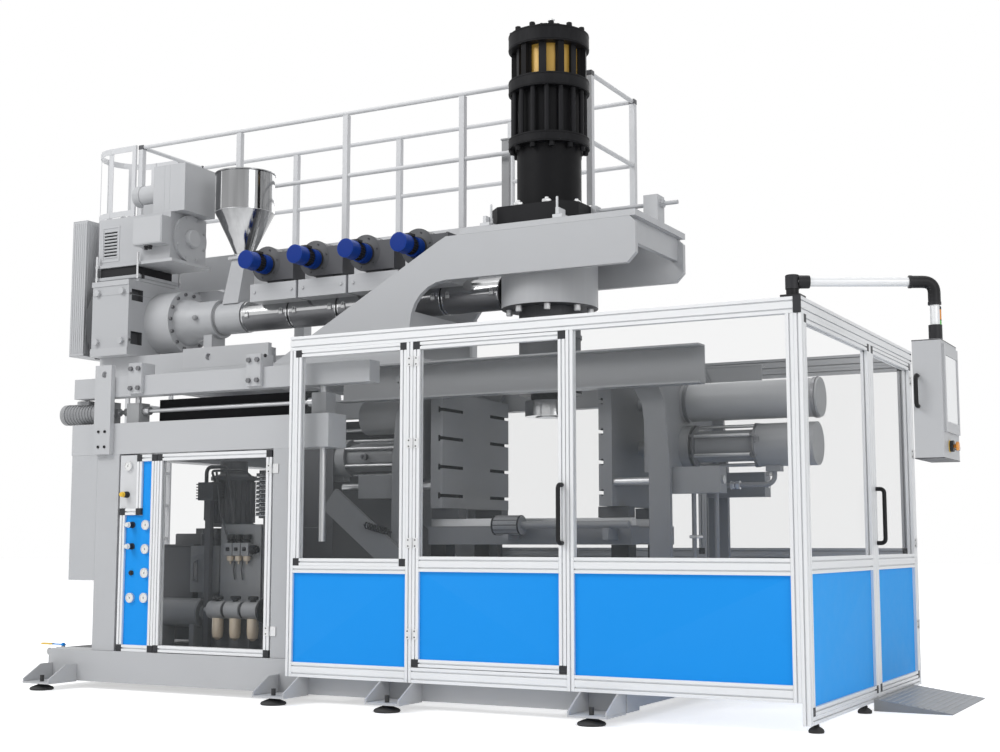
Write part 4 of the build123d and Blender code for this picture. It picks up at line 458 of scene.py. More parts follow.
def leaf(outside, handle):
    """A door: corner cubes, profiles, and on the outside its handle and hinges."""
    def piece_rule(piece):
        if corner_cube(piece):
            return "corner"
        return lambda c, face: "aluminium" if not outside(c) else "black" if handle(c) else "zinc"
    return piece_rule


def fittings_rule(piece):
    if corner_cube(piece):
        return "corner"
    if piece.low.z > 2.3:  # above the guard
        return "black"
    return "zinc" if piece.size.z < 0.07 else "corner"


def guard_rule(piece):
    # profiles at the back get the darker aluminium: painted shade
    return "shaded_rear_aluminium" if piece.mid.y > 1.2 and piece.mid.x < 3.05 else "aluminium"


def column_rule(piece):
    if piece.size.y < 0.0045:  # a cover plate, in painted shade: the rear one dark grey, the front one near black
        return "dark" if piece.mid.y > 0 else "shadow"
    return "paint"


def gearbox_rule(piece):
    if tiny(piece, 0.06):
        return "dark_steel"

    def face_rule(centre, face):
        if centre.x < -2.8065:  # the hub and disc on the belt side
            return "drum"
        if -2.4752 < centre.x < -2.4303 and 0.255 < abs(centre.y) < 0.395:  # the pockets, darkened as painted shade
            return "dark"
        return "paint"
    return face_rule


def motor_rule(piece):
    under_motor = piece.low.z > 3.05 and piece.high.z < 3.14
    if under_motor and piece.size.x > 0.2 and piece.size.z > 0.06:
        return "black"

    def face_rule(centre, face):
        if any(hypot(centre.x - x, centre.y - y) < 0.013 for x in (-2.83, -2.41) for y in (-0.354, 0.134)):
            return "steel"  # four upright screws
        if -0.3197 < centre.y < -0.309 and -2.791 < centre.x < -2.659 and centre.z > 3.2:
            return "shadow"  # behind the louvre
        return "paint"
    return face_rule


def blower_rule(piece):
    if piece.high.z < 2.91:  # below the housing
        return "black" if tiny(piece, 0.07) else "paint"
    if piece.high.y < -0.199:  # the motor, in front of the housing
        # its narrower middle step is black: painted shade on the blue motor
        return "black" if piece.size.z < 0.112 else "motor_blue"
    return "drum"


def barrel_rule(piece):
    # The bare barrel between the covers is shown as painted shadow.
    if piece.size.y < 0.2:
        return "shadow"
    # Below the axis the covers are dark steel, a painted reflection; their end faces are dark steel too.
    return lambda c, face: "dark_steel" if c.z < 2.695 or abs(face.normal.x) > 0.9 else "chrome"


def head_rule(piece):
    """The head's materials by height, from the top down."""
    steps = ((2.571, "paint"), (2.04, "dark"), (1.941, "black"))
    return lambda c, face: next((name for low, name in steps if c.z > low), "chrome")


def platen_rule(piece):
    # The platen sits within the guard and is shown in painted shade: slots, shoes and back darker, body the
    # shaded grey; the rods behind it are steel.
    def face_rule(centre, face):
        deep = abs(centre.x - HEAD) - PLATEN_REACH  # behind the platen's face
        if 0.0005 < deep < 0.0325 and 0.19 < abs(centre.y) < 0.4675:
            if any(abs(centre.z - slot) < 0.0206 for slot in PLATEN_SLOTS):
                return "shadow"
        if deep > 0.0905:
            return "steel" if centre.z > 1.22 else "dark"
        return "dark" if centre.z < 1.2195 else "inside_shade"
    return face_rule


def side_rule(piece):
    """The small cylinder at the clamp's side and its rod; None for all other solids."""
    beside = 1.0 < piece.low.z and piece.high.z < 1.18 and piece.mid.y < -0.4
    if beside and piece.size.y < 0.13:
        return "black" if piece.size.x < 0.21 else "steel"
    return None


def bed_rule(piece):
    if side_rule(piece):
        return side_rule(piece)
    if piece.size.x < 0.21 and 0.12 < piece.size.y < 0.13:
        return "black"
    return "steel" if piece.size.x > 0.5 and piece.size.y < 0.08 else "inside_shade"


def tank_rule(piece):
    if piece.size.y < 0.02:
        return "black"
    if 0.35 < piece.mid.z < 0.55 and piece.size.x > 0.3:  # the air receiver
        return "mid_shade"
    return "inside_shade" if piece.size.z > 0.3 else "dark"


def unit_rule(piece):
    low, high = piece.low.z, piece.high.z
    if piece.size.y < 0.008:
        return "mid_shade"
    if 0.85 < low and high < 1.06 or 0.32 < low and high < 0.61:  # regulators and filters, made below
        return None
    if piece.mid.x < -1.3 and low > 1.28:
        return "black"
    return "mid_shade" if low > 1.1 else "dark"


def arm_rule(piece):
    return lambda c, face: "black" if c.x < 3.085 or c.z > 2.45 else "aluminium"


def panel_rule(piece):
    def face_rule(centre, face):
        if centre.z < 1.4255:
            return "black"
        recess = 1.6 < centre.z < 2.0 and centre.x < 3.7745
        # the recessed face takes the darker shaded grey: painted shade in the recess
        return "mid_shade" if face.normal.x > 0.9 and recess else "paint"
    return face_rule


for node, rule in {
    "guard_frame": guard_rule,
    # the end panels take the brighter blue: painted light on the side that gets less of it
    "guard_panels": lambda piece: "brightened_blue" if piece.size.x < 0.02 else "blue",
    "front_door_panel": "blue", "end_door_panel": "brightened_blue",
    "base_frame": lambda piece: "dark" if piece.size.z < 0.008 else "paint",
    "column_frame": column_rule,
    "lifting_platform": lambda piece: "dark_steel" if tiny(piece, 0.045) else "paint",
    "clamp_bed": bed_rule, "clamp_channels": "mid_shade",
    "clamp_frame": lambda piece: side_rule(piece) or "inside_shade",
    "ladder": "light", "walkway": "light",
    "gearbox": gearbox_rule, "belt_guard": "paint", "drive_motor": motor_rule,
    "gantry": lambda piece: "steel" if piece.size.y < 0.06 and piece.size.z < 0.06 else "paint",
    "front_lift_shaft": "steel", "rear_lift_shaft": "steel", "jack_screws": "steel",
    "lift_drive": "mid_shade", "motor_pulley": "drum", "gearbox_pulley": "drum",
    "access_ramp": "mid_shade", "accumulator_ram": "ochre", "head_body": head_rule,
    "head_cylinder": lambda piece: lambda c, face: None if c.z > 4.5402 else "black_paint",
    "barrel": barrel_rule, "die_pin": "steel", "left_platen": platen_rule, "right_platen": platen_rule,
    "clamp_cylinders": lambda piece: side_rule(piece) or ("steel" if piece.size.y < 0.03 else "mid_shade"),
    "hydraulic_pipes": "mid_shade", "tanks": tank_rule, "pneumatic_units": unit_rule,
    "pressure_gauges": lambda piece: "zinc" if piece.size.x > 0.06 else "corner",
    "push_button": "black", "inlet_valve": "paint", "swing_arm": arm_rule, "operator_panel": panel_rule,
    "panel_fittings": lambda piece: None if piece.high.z > 2.2 and piece.size.x < 0.04 else "black",
    "panel_screen": "screen", "knob_1": "black", "knob_2": "black", "knob_3": "black",
    "blowers": blower_rule, "hopper": lambda piece: "paint" if piece.low.z < 3.1 else None,
    "front_door_frame": leaf(lambda c: c.y < -1.3002, lambda c: c.x > 1.2),
    "end_door_frame": leaf(lambda c: c.x > 3.1002, lambda c: c.y < 0.6),
    "cabinet_door_frame": leaf(lambda c: c.y < -1.1852, lambda c: False),
    "guard_fittings": fittings_rule,
    "strip_frame": lambda piece: "light" if piece.size.y < 0.02 else "aluminium",
}.items():
    dress(node, rule)
for node in ("guard_windows", "front_door_window", "end_door_window", "cabinet_door_glass"):
    dress(node, "clear", bevel=0)


# Feet, hopper and bolts that stand for plainer solids

feet = Shape()
for piece in islands("levelling_feet"):
    x, y, _ = piece.mid
    if piece.low.z < 0.001:
        r, stem = piece.size.x / 2, 0.014
        feet.turn((x, y, 0), UP, [(r * 0.94, 0), (r, 0.005), (r, 0.012), (r * 0.93, 0.019), (r * 0.62, 0.029),
            (r * 0.36, 0.036), (0.02, 0.0425), (stem, 0.043)], 32)
        feet.rod((x, y, 0.042), UP, stem, piece.high.z - 0.042, 16)
    else:
        feet.nut((x, y, piece.low.z), UP, 0.036, 0.014)
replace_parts(feet.done("domed_feet", "rubber"), "levelling_feet")

shell = Shape()
outer = [(0.059, 3.175), (0.2255, 3.519), (0.226, 3.523), (0.226, 3.818)]
rim = [(0.228 + 0.007 * cos(a), 3.8265 + 0.007 * sin(a)) for a in (-1.2, -0.6, 0, 0.7, 1.4, 2.1, 2.9)]
inner = [(0.222, 3.82), (0.222, 3.523), (0.055, 3.177)]
shell.turn((HOPPER, 0, 0), UP, outer + rim + inner, 72, closed=True)
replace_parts(shell.done("hopper_shell", "mirror", "platform", smooth=22.0), "hopper")
seams = Shape()
seams.band((HOPPER, 0, 3.518), UP, 0.2255, 0.2275, 0.006, 72, lip=0.0015)
seams.ribs("z", (3.524, 3.816), (HOPPER, 0), [radians(-105), radians(75)],
    ((0.2255, -0.003), (0.2272, 0), (0.2255, 0.003)))
seams.turn((HOPPER, 0, 0), UP, [(0.058, 3.1752), (0.078, 3.1752), (0.078, 3.189), (0.066, 3.193)], 40)
for a in around(8, 20):
    seams.nut(polar("z", 3.1895, (HOPPER, 0), 0.0715, a), UP, 0.011, 0.006)
seams.done("hopper_welds", "steel", "platform")

black_bolts, pale_bolts = Shape(), Shape()
for piece in islands("head_nuts"):
    x, y, middle = piece.mid
    low, high = (x, y, piece.low.z), (x, y, piece.high.z)
    across, tall = min(piece.size.x, piece.size.y) * 0.97, piece.size.z
    if middle > 4.4:
        black_bolts.nut(low, UP, across, tall)
    elif middle > 3.4:
        black_bolts.cap_screw(high, DOWN, across / 2, tall)
    elif middle > 3.0:
        pale_bolts.nut(low, UP, across, tall, stud=0.014)
    else:
        pale_bolts.cap_screw(high, DOWN, across / 2, tall)
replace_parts(black_bolts.done("head_bolts", "black_paint", "platform"), "head_nuts")
pale_bolts.done("base_bolts", "zinc", "platform")

pillars = Shape()
half = radians(6.5)
pillars.wedges("z", (4.1572, 4.3798), (HEAD, 0), around(12, 15),
    ((0.206, -half), (0.206, half), (0.228, half), (0.228, 0), (0.228, -half)))
pillars.done("window_pillars", "black_paint", "platform")
lining = Shape()
lining.turn((HEAD, 0, 4.1573), UP, [(0.198, 0), (0.203, 0), (0.203, 0.2224), (0.198, 0.2224)], 64,
    closed=True)
lining.done("window_lining", "ochre", "platform")
crown = Shape()
ring = [(0.279, 0.004), (0.2815, 0.006), (0.2815, 0.013), (0.279, 0.015)]
for low, high in ((3.68, 3.75), (4.07, 4.157), (4.38, 4.487)):
    crown.turn((HEAD, 0, low), UP, ring, 64)
    crown.turn((HEAD, 0, high), DOWN, ring, 64)
crown.turn((HEAD, 0, 4.54), UP, [(0.14, -0.002), (0.14, 0.003), (0.06, 0.01), (0.052, 0.018),
    (0.02, 0.024)], 40)
for a in around(6, 30):
    crown.cap_screw(polar("z", 4.5415, (HEAD, 0), 0.112, a), UP, 0.013, 0.013)
crown.done("head_rings", "black_paint", "platform", bevel=0.001)
elbow = Shape()
elbow.nut((HEAD, 0, 4.562), UP, 0.026, 0.014)
elbow.tube([(HEAD, 0, 4.575), (HEAD, 0, 4.611), (HEAD + 0.045, 0, 4.611)], 0.0075, 0.014, 12)
elbow.nut((HEAD + 0.028, 0, 4.611), RIGHT, 0.02, 0.012)
elbow.rod((HEAD, 0, 4.588), UP, 0.0115, 0.008, 16)
elbow.done("vent_elbow", "zinc", "platform")
grips = Shape()
for y in (-0.385, 0.385):
    for side in (-1, 1):
        x = HEAD + 0.27 * side
        screw = x - 0.024 * side
        grips.box((x - 0.035, y - 0.05, 3.0955), (x + 0.035, y + 0.05, 3.12), 0.002)
        grips.box((x - 0.012, y - 0.05, 3.1195), (x + 0.012, y + 0.05, 3.165), 0.002)
        grips.turn((screw, y, 3.1195), UP, [(0.008, 0), (0.008, 0.125), (0.006, 0.13)], 14)
        grips.nut((screw, y, 3.12), UP, 0.024, 0.012)
grips.done("base_grips", "light", "platform", bevel=0.001)


# Extruder

gear = Shape()
for a in around(14, 180 / 14):
    gear.cap_screw(polar("x", -2.1897, (0, AXIS), 0.218, pi / 2 - a), RIGHT, 0.014, 0.014)
for z in (2.54, 2.9):
    for y in (-0.405, 0.405):
        gear.cap_screw((-2.4297, y, z), RIGHT, 0.01, 0.008)
gear.done("gearbox_bolts", "dark_steel", "platform")
trim = Shape()
trim.box((-2.8, -0.4212, 2.896), (-2.43, -0.4196, 2.8985))
trim.box((-2.4305, -0.42, 2.896), (-2.4288, 0.42, 2.8985))
trim.turn((-1.99, -0.146, AXIS), FRONT, [(0.013, 0), (0.013, 0.006), (0.02, 0.012), (0.022, 0.022),
    (0.017, 0.033), (0.006, 0.038)], 20)
trim.band((-1.852, 0, AXIS), RIGHT, 0.1215, 0.127, 0.018, 48)
trim.done("gearbox_trim", "mid_shade", "platform")

motor = Shape()
for left, low, right, high in ((-2.815, 3.185, -2.8, 3.47), (-2.648, 3.185, -2.633, 3.47),
        (-2.8, 3.185, -2.648, 3.2), (-2.8, 3.455, -2.648, 3.47)):
    motor.box((left, -0.3245, low), (right, -0.3195, high), 0.001)
for z in [3.214 + 0.026 * k for k in range(9)]:  # the louvre's slats
    slat = ((-0.3195, z), (-0.3255, z + 0.004), (-0.3195, z + 0.013))
    motor.loft([[(x, *point) for point in slat] for x in (-2.797, -2.651)])
motor.turn((-2.8, MOTOR[0], 3.5302), UP, [(0.03, 0), (0.03, 0.006), (0.016, 0.01), (0.012, 0.022)])
eye = [polar("y", MOTOR[0], (-2.8, 3.575), 0.026, radians(15 * k - 90)) for k in range(25)]
motor.tube(eye, 0.0075, 0, 10)
for x in (-2.157, -2.21):
    motor.box((x, -0.3012, 3.5312), (x + 0.003, -0.2995, 3.904))
motor.box((-2.322, -0.302, 3.5312), (-2.003, -0.2995, 3.545), 0.001)
for z in (3.28, 3.465):
    for x in (-2.385, -2.125):
        motor.cap_screw((x, -0.4299, z), FRONT, 0.006, 0.004)
motor.box((-2.392, -0.4335, 3.272), (-2.118, -0.4297, 3.473), 0.0015)
for a in around(8, 22):
    motor.cap_screw(polar("x", -2.0922, MOTOR, 0.165, a), RIGHT, 0.009, 0.008)
motor.turn((-2.0584, *MOTOR), RIGHT, [(0.068, 0), (0.064, 0.006), (0.02, 0.008)], 32)
for k in range(5):
    motor.turn((-2.615 + 0.01 * k, *FAN_MOTOR), RIGHT, [(0.0855, 0), (0.0875, 0.002), (0.0855, 0.004)], 32)
motor.done("motor_trim", "paint", "platform", bevel=0.0008, segments=1)
gland = Shape()
for x in (-2.31, -2.27):
    gland.turn((x, -0.375, 3.2648), DOWN, [(0.018, 0), (0.018, 0.014), (0.014, 0.018), (0.014, 0.03)], 6)
gland.rod((-2.4, -0.3, 3.0602), DOWN, 0.012, 0.03, 14)
gland.done("cable_glands", "black", "platform")

guard = Shape()
for x in [-3.088 + 0.021 * k for k in range(7)]:
    for y in (-0.3535, 0.2495):
        guard.box((x, y, 2.475), (x + 0.01, y + 0.004, 3.52), 0.0015)
for y in [-0.335 + 0.0242 * k for k in range(24)]:
    for x in (-3.1035, -2.9505):
        if x < -3.0 or abs(y) > 0.17:  # room for the shafts on the right side
            guard.box((x, y, 2.475), (x + 0.004, y + 0.012, 3.52), 0.0015)
guard.done("belt_guard_ribs", "paint", "platform")

lips, clips, plates = Shape(), Shape(), Shape()
for k in range(5):
    left = COVER_START + COVER_PITCH * k
    right = 0.6397 if k == 4 else left + COVER_PITCH
    for x in (left + 0.0005, right - 0.0245):
        lips.band((x, 0, AXIS), RIGHT, 0.1158, 0.1178, 0.012, 56)
    for x in (left + 0.045, right - 0.075):
        clips.box((x, -0.1225, AXIS - 0.02), (x + 0.03, -0.1125, AXIS + 0.004), 0.002)
        loop = ((0.006, 0.002), (0.006, 0.024), (0.024, 0.024), (0.024, 0.002))
        clips.tube([(x + dx, -0.1235, AXIS + dz) for dx, dz in loop], 0.0018, 0.005, 8)
        plates.box((x - 0.004, -0.1185, AXIS - 0.03), (x + 0.034, -0.113, AXIS + 0.012), 0.001)
lips.done("cover_lips", "chrome", "platform")
clips.done("cover_clips", "zinc", "platform")
plates.done("clip_plates", "dark_steel", "platform")

fans, fan_black, blue_caps = Shape(), Shape(), Shape()
for x in BLOWERS:
    for y in (-0.2005, -0.0715):
        fans.band((x, y, 3.06), BACK, 0.1295, 0.1325, 0.012, 48)
    for a in around(6, 12):
        fans.cap_screw(polar("y", -0.2003, (x, 3.06), 0.106, a), FRONT, 0.007, 0.006)
    fans.box((x + 0.238, -0.206, 2.926), (x + 0.252, -0.054, 3.144), 0.001)
    # black fins on the motor's middle step: painted shade, like the step
    fan_black.ribs("y", (-0.3485, -0.2715), (x, 3.052), around(20),
        ((0.053, -0.0016), (0.062, -0.001), (0.062, 0.001), (0.053, 0.0016)))
    fan_black.box((x - 0.03, -0.335, 3.1135), (x + 0.03, -0.275, 3.1365), 0.003)
    for r in (0.018, 0.03, 0.042, 0.054):
        fan_black.turn((x, -0.45, 3.052), FRONT, [(r, -0.002), (r, 0.0016), (r + 0.003, 0.0016),
            (r + 0.003, -0.002)], 32, closed=True)
    fan_black.turn((x, -0.201, 3.052), FRONT, [(0.08, 0), (0.08, 0.006), (0.074, 0.009)], 40)
    blue_caps.turn((x, -0.3512, 3.052), FRONT, [(0.0675, 0), (0.0695, 0.002), (0.0695, 0.01),
        (0.068, 0.012)], 40)
    blue_caps.turn((x, -0.448, 3.052), FRONT, [(0.0675, -0.006), (0.067, 0), (0.062, 0.0035),
        (0.057, 0.0038)], 40)
fans.done("blower_trim", "drum", "platform")
fan_black.done("blower_motor_trim", "black", "platform")
blue_caps.done("blower_motor_caps", "motor_blue", "platform")


# Guard: hinge screws, rail caps, ramp treads

screws = Shape()
for z in [hinge + dz for hinge in (0.42, 0.96, 1.56, 2.06) for dz in (0.012, 0.048)]:
    for x in (0.655, 0.704):
        screws.cap_screw((x, -1.3018, z), FRONT, 0.0045, 0.002)
    for y in (1.232, 1.278):
        screws.cap_screw((3.1018, y, z), RIGHT, 0.0045, 0.002)
for z in [hinge + dz for hinge in (0.4, 1.44) for dz in (0.012, 0.048)]:
    screws.cap_screw((-0.482, -1.1868, z), FRONT, 0.0045, 0.002)
for x in (-1.93, -1.872):
    for z in (1.652, 1.758):
        screws.cap_screw((x, -1.2198, z), FRONT, 0.01, 0.007)
screws.turn((-0.506, -1.2092, 2.207), FRONT, [(0.012, 0), (0.012, 0.006), (0.008, 0.009)], 16)
screws.done("hinge_screws", "black")
channel_screws = Shape()
for a in around(8):
    channel_screws.cap_screw(polar("y", -0.5723, (0.17, 2.06), 0.052, a), FRONT, 0.006, 0.005)
channel_screws.done("channel_plate_screws", "drum")
post = Shape()
post.box((0.306, 0.545, 3.2365), (0.366, 0.575, 3.975), 0.002)
post.box((0.3, 0.538, 3.9752), (0.372, 0.582, 3.99), 0.003)
post.box((0.286, 0.525, 3.2365), (0.386, 0.595, 3.244), 0.002)
post.done("walkway_post", "mid_shade", "platform")
caps = Shape()
for y in (0.4925, 1.2775):
    for x in (-3.1655, 1.0575):
        caps.box((x - 0.024, y - 0.024, 4.34), (x + 0.024, y + 0.024, 4.382), 0.004)
caps.done("rail_caps", "drum", "platform")
treads = Shape()
ramp_start, ramp_end, ramp_fall = 3.1003, 3.555, 0.064
for x in [3.115 + 0.038 * k for k in range(11)]:
    z = 0.07 - (x - ramp_start) / (ramp_end - ramp_start) * ramp_fall
    tread = ((0, -0.002), (0.004, 0.0025), (0.012, 0.0015), (0.016, -0.004))
    treads.loft([[(x + dx, y, z + dz) for dx, dz in tread] for y in (0.02, 1.01)])
treads.done("ramp_treads", "mid_shade")


# Clamp: ports, unions, spring and guide

ports = Shape()
for x, y, z, r in ((2.445, -0.135, 1.63, 0.026), (2.43, -0.118, 1.535, 0.02), (-0.445, -0.135, CLAMP, 0.024)):
    ports.turn((x, y, z), FRONT, [(r, -0.02), (r, 0.004), (r * 0.8, 0.006), (r * 0.5, 0.006),
        (r * 0.45, -0.002)])
for x in (2.0205, 2.42, 0.087):
    ports.band((x, 0, CLAMP), RIGHT, 0.134, 0.1385, 0.017, 48, lip=0.003)
for x in (1.9605, 2.79):
    ports.band((x, 0, 1.885), RIGHT, 0.1215, 0.129, 0.027, 48, lip=0.003)
for a in around(6, 30):
    for x, way in ((2.004, RIGHT), (2.417, LEFT)):
        ports.nut(polar("x", x, (0, CLAMP), 0.122, a), way, 0.03, 0.014)
ports.done("cylinder_ports", "dark_steel")
unions = Shape()
under = CLAMP - 0.137 - 0.03
unions.nut((2.492, 0, under - 0.002), DOWN, 0.044, 0.026)
unions.nut((2.3, 0, under - 0.0803), LEFT, 0.044, 0.03)
unions.nut((2.24, 0, under - 0.0803), RIGHT, 0.044, 0.022)
for z in (0.62, 1.02):
    unions.box((1.965, -0.024, z), (2.016, 0.086, z + 0.02), 0.003)
for x, y in ((1.99, 0), (1.96, 0.06)):
    unions.nut((x, y, 0.2605), UP, 0.044, 0.026)
unions.done("pipe_unions", "steel")
spring = Shape()
spring.coil((-0.11, -0.607, 1.108), (0.062, -0.607, 1.066), 0.02, 0.0045, 8)
spring.tube([(-0.128, -0.5815, 1.111), (-0.128, -0.607, 1.111), (-0.108, -0.607, 1.107)], 0.0045, 0.01, 8)
spring.tube([(0.08, -0.5815, 1.062), (0.08, -0.607, 1.062), (0.06, -0.607, 1.066)], 0.0045, 0.01, 8)
spring.done("return_spring", "black")
side = Shape()
for x in (0.8005, 0.985):
    side.band((x, *SIDE_CYLINDER), RIGHT, 0.0615, 0.0645, 0.014, 32)
side.wedges("x", (0.815, 0.985), SIDE_CYLINDER, around(12), ((0.0615, -0.05), (0.0635, 0), (0.0615, 0.05)))
side.done("side_cylinder_trim", "black")

lift = Shape()
for y in (-LIFT_Y, LIFT_Y):
    for k in range(9):
        lift.band((-2.31 + 0.028 * k, y, LIFT_Z), RIGHT, 0.0675, 0.0735, 0.008, 28)
    lift.turn((-2.3692, y, LIFT_Z), LEFT, [(0.073, -0.004), (0.068, 0.003), (0.03, 0.004)], 32)
    lift.turn((-1.975, y, 1.9752), UP, [(0.04, 0), (0.04, 0.008), (0.03, 0.016), (0.012, 0.019)], 28)
    lift.box((-2.23, y - 0.045, 1.96), (-2.12, y + 0.045, 1.992), 0.004)
lift.done("lift_motor_trim", "mid_shade")


# Behind the cabinet door

units, unit_black, bowls = Shape(), Shape(), Shape()
front = -0.6063  # face of the valve plate
filters = (-0.8, 0.535)  # y and z of their axis
for k in range(3):
    x, y = -1.218 + 0.072 * k, front - 0.03
    units.box((x - 0.032, front - 0.06, 0.9), (x + 0.032, front, 0.992), 0.005)
    unit_black.turn((x, y, 0.9915), UP, [(0.026, 0), (0.026, 0.01), (0.022, 0.012), (0.022, 0.02),
        (0.029, 0.024), (0.03, 0.052), (0.026, 0.058)])
    unit_black.box((x - 0.012, front - 0.072, 0.935), (x + 0.012, front - 0.059, 0.96), 0.003)
    bowls.turn((x, y, 0.9005), DOWN, [(0.026, 0), (0.026, 0.022), (0.022, 0.034), (0.01, 0.039)])
    bowls.turn((x, y, 0.8625), DOWN, [(0.007, -0.002), (0.007, 0.016), (0.004, 0.02)], 12)
    left = -1.25 + 0.15 * k
    units.band((left, *filters), RIGHT, 0.052, 0.06, 0.13, 32, lip=0.004)
    unit_black.rod((left + 0.1305, *filters), RIGHT, 0.054, 0.0185, 32)
    unit_black.turn((left + 0.065, filters[0], 0.5915), UP, [(0.02, 0), (0.02, 0.012), (0.036, 0.016),
        (0.038, 0.034), (0.03, 0.04)])
    bowls.turn((left + 0.065, filters[0], 0.481), DOWN, [(0.04, 0), (0.04, 0.1), (0.034, 0.132),
        (0.014, 0.148), (0.01, 0.15)], 28)
unit_black.turn((-0.8185, *filters), RIGHT, [(0.05, 0), (0.05, 0.012), (0.082, 0.016),
    (0.082, 0.03), (0.04, 0.034), (0.04, 0.08), (0.03, 0.084)], 36)
units.turn((-1.2502, *filters), LEFT, [(0.022, 0), (0.022, 0.02), (0.015, 0.024), (0.015, 0.05)], 20)
units.box((-1.262, -0.745, 0.52), (-0.985, -0.738, 0.55), 0.001)
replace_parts(units.done("regulator_bodies", "mid_shade", bevel=0.001), "pneumatic_units")
unit_black.turn((-1.0, front - 0.0305, 0.945), RIGHT, [(0.03, -0.04), (0.03, 0), (0.022, 0.002),
    (0.022, 0.02)])
unit_black.done("regulator_caps", "black")
bowls.done("regulator_bowls", "amber")
lines = Shape()
lines.tube([(-1.4, -0.6, 1.43), (-1.4, -0.64, 1.5), (-1.12, -0.64, 1.5), (-1.1, -0.58, 1.46)],
    0.009, 0.03, 10)
lines.tube([(-1.36, -0.6355, 1.5), (-1.3, -0.66, 1.21), (-1.235, -0.66, 1.05)], 0.008, 0.05, 10)
for x in (-1.19, -1.12):
    y = front - 0.02
    lines.tube([(x, y, 0.862), (x - 0.008, y, 0.8), (x + 0.004, y, 0.735)], 0.005, 0.03, 8)
lines.done("air_lines", "drum")
tank = Shape()
for x in (-1.8605, -1.464):
    tank.band((x, -0.62, 0.5), RIGHT, 0.099, 0.1025, 0.014, 48, lip=0.003)
tank.nut((-1.43, -0.62, 0.5), RIGHT, 0.034, 0.024, stud=0.008)
tank.box((-1.638, -0.5625, 0.9), (-1.382, -0.5595, 0.906), 0.001)
handle = ((-0.573, 0.725), (-0.6, 0.73), (-0.6, 0.85), (-0.573, 0.855))
tank.tube([(-1.585, y, z) for y, z in handle], 0.008, 0.012, 10)
tank.done("tank_trim", "inside_shade")
pump = Shape()
middle = (-1.39, -0.4)
pump.turn((*middle, 1.105), UP, [(0.165, 0), (0.165, 0.02), (0.145, 0.024), (0.145, 0.33),
    (0.165, 0.334), (0.165, 0.36), (0.1, 0.38), (0.098, 0.47), (0.03, 0.474)], 40)
pump.wedges("z", (1.135, 1.43), middle, around(24), ((0.144, -0.025), (0.158, 0), (0.144, 0.025)))
pump.tube([(-1.62, -0.42, z) for z in (0.972, 1.02, 1.05)], 0.035, 0, 20)
for k in range(4):
    pump.turn((-1.6 + 0.062 * k, -0.46, 0.9705), UP, [(0.022, 0), (0.022, 0.05), (0.03, 0.054),
        (0.03, 0.085), (0.016, 0.092), (0.016, 0.12)], 18)
pump.done("pump_motor", "dark", bevel=0.001)
pipe = Shape()
pipe.tube([(x, -0.585, z) for x, z in ((-1.49, 1.15), (-1.49, 1.53), (-1.31, 1.53), (-1.23, 1.13))],
    0.014, 0.05, 14)
pipe.done("pump_pipe", "drum")
back = Shape()
for k in range(5):
    back.box((-1.945 + 0.062 * k, -0.148, 0.62), (-1.885 + 0.062 * k, -0.14, 1.02), 0.002)
back.box((-2.06, -0.52, 0.3), (-1.65, -0.25, 0.965), 0.006)
back.box((-2.066, -0.526, 0.9652), (-1.645, -0.244, 0.98), 0.003)
back.box((-2.06, -0.24, 0.3), (-1.34, -0.16, 1.06), 0.006)
back.box((-1.95, -0.139, 0.262), (-0.7, -0.134, 1.1), 0.002)
back.box((-0.96, -0.139, 1.101), (-0.7, -0.134, 1.8), 0.002)
back.box((-1.95, -0.9, 0.2615), (-0.7, -0.14, 0.2645), 0.001)
back.done("cabinet_back", "dark")

fins = Shape()
for z in [1.174 + 0.03 * k for k in range(10)]:
    fins.box((-0.932, -0.7425, z), (-0.838, -0.6985, z + 0.0055), 0.001)
    fins.cap_screw((-0.885, -0.7403, z + 0.013), FRONT, 0.005, 0.003)
fins.done("valve_island_trim", "paint")


# Strip: gauges, knobs and the inlet valve

dials, marks = Shape(), Shape()
for number, piece in enumerate(p for p in islands("pressure_gauges") if p.size.x > 0.06):
    x, y, z = piece.mid.x, piece.low.y, piece.mid.z
    dials.rod((x, y + 0.0032, z), FRONT, 0.0275, 0.0012, 32)
    needle = radians(118 - 24 * (number % 3))
    marks.ribs("y", (y + 0.0019, y + 0.0013), (x, z), [needle],
        ((-0.008, -0.0013), (-0.008, 0.0013), (0.019, 0)))
    marks.rod((x, y + 0.002, z), FRONT, 0.0036, 0.0014, 14)
    marks.ribs("y", (y + 0.0021, y + 0.0016), (x, z), [radians(225 - 27 * n) for n in range(11)],
        ((0.0225, -0.0007), (0.0225, 0.0007), (0.026, 0)))
dials.done("gauge_dials", "dial")
marks.done("gauge_marks", "black")
for node, tint in (("knob_1", "yellow"), ("knob_2", "dial"), ("knob_3", "dial")):
    low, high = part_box(node)
    x, y, z = (low[0] + high[0]) / 2, low[1], (low[2] + high[2]) / 2
    knob = Shape()
    knob.ribs("y", (y + 0.022, y + 0.05), (x, z), around(18),
        ((0.0188, -0.0013), (0.0198, 0), (0.0188, 0.0013)))
    knob.done(f"{node}_grip", "black", BODY[node])
    cap = Shape()
    cap.turn((x, y + 0.022, z), FRONT, [(0.0192, 0), (0.0192, 0.003), (0.0162, 0.005), (0.0162, 0.0195),
        (0.0145, 0.0228), (0.003, 0.0234)], 28)
    cap.box((x - 0.0016, y - 0.0024, z + 0.002), (x + 0.0016, y - 0.0008, z + 0.013), 0.0003)
    cap.done(f"{node}_cap", tint, BODY[node])

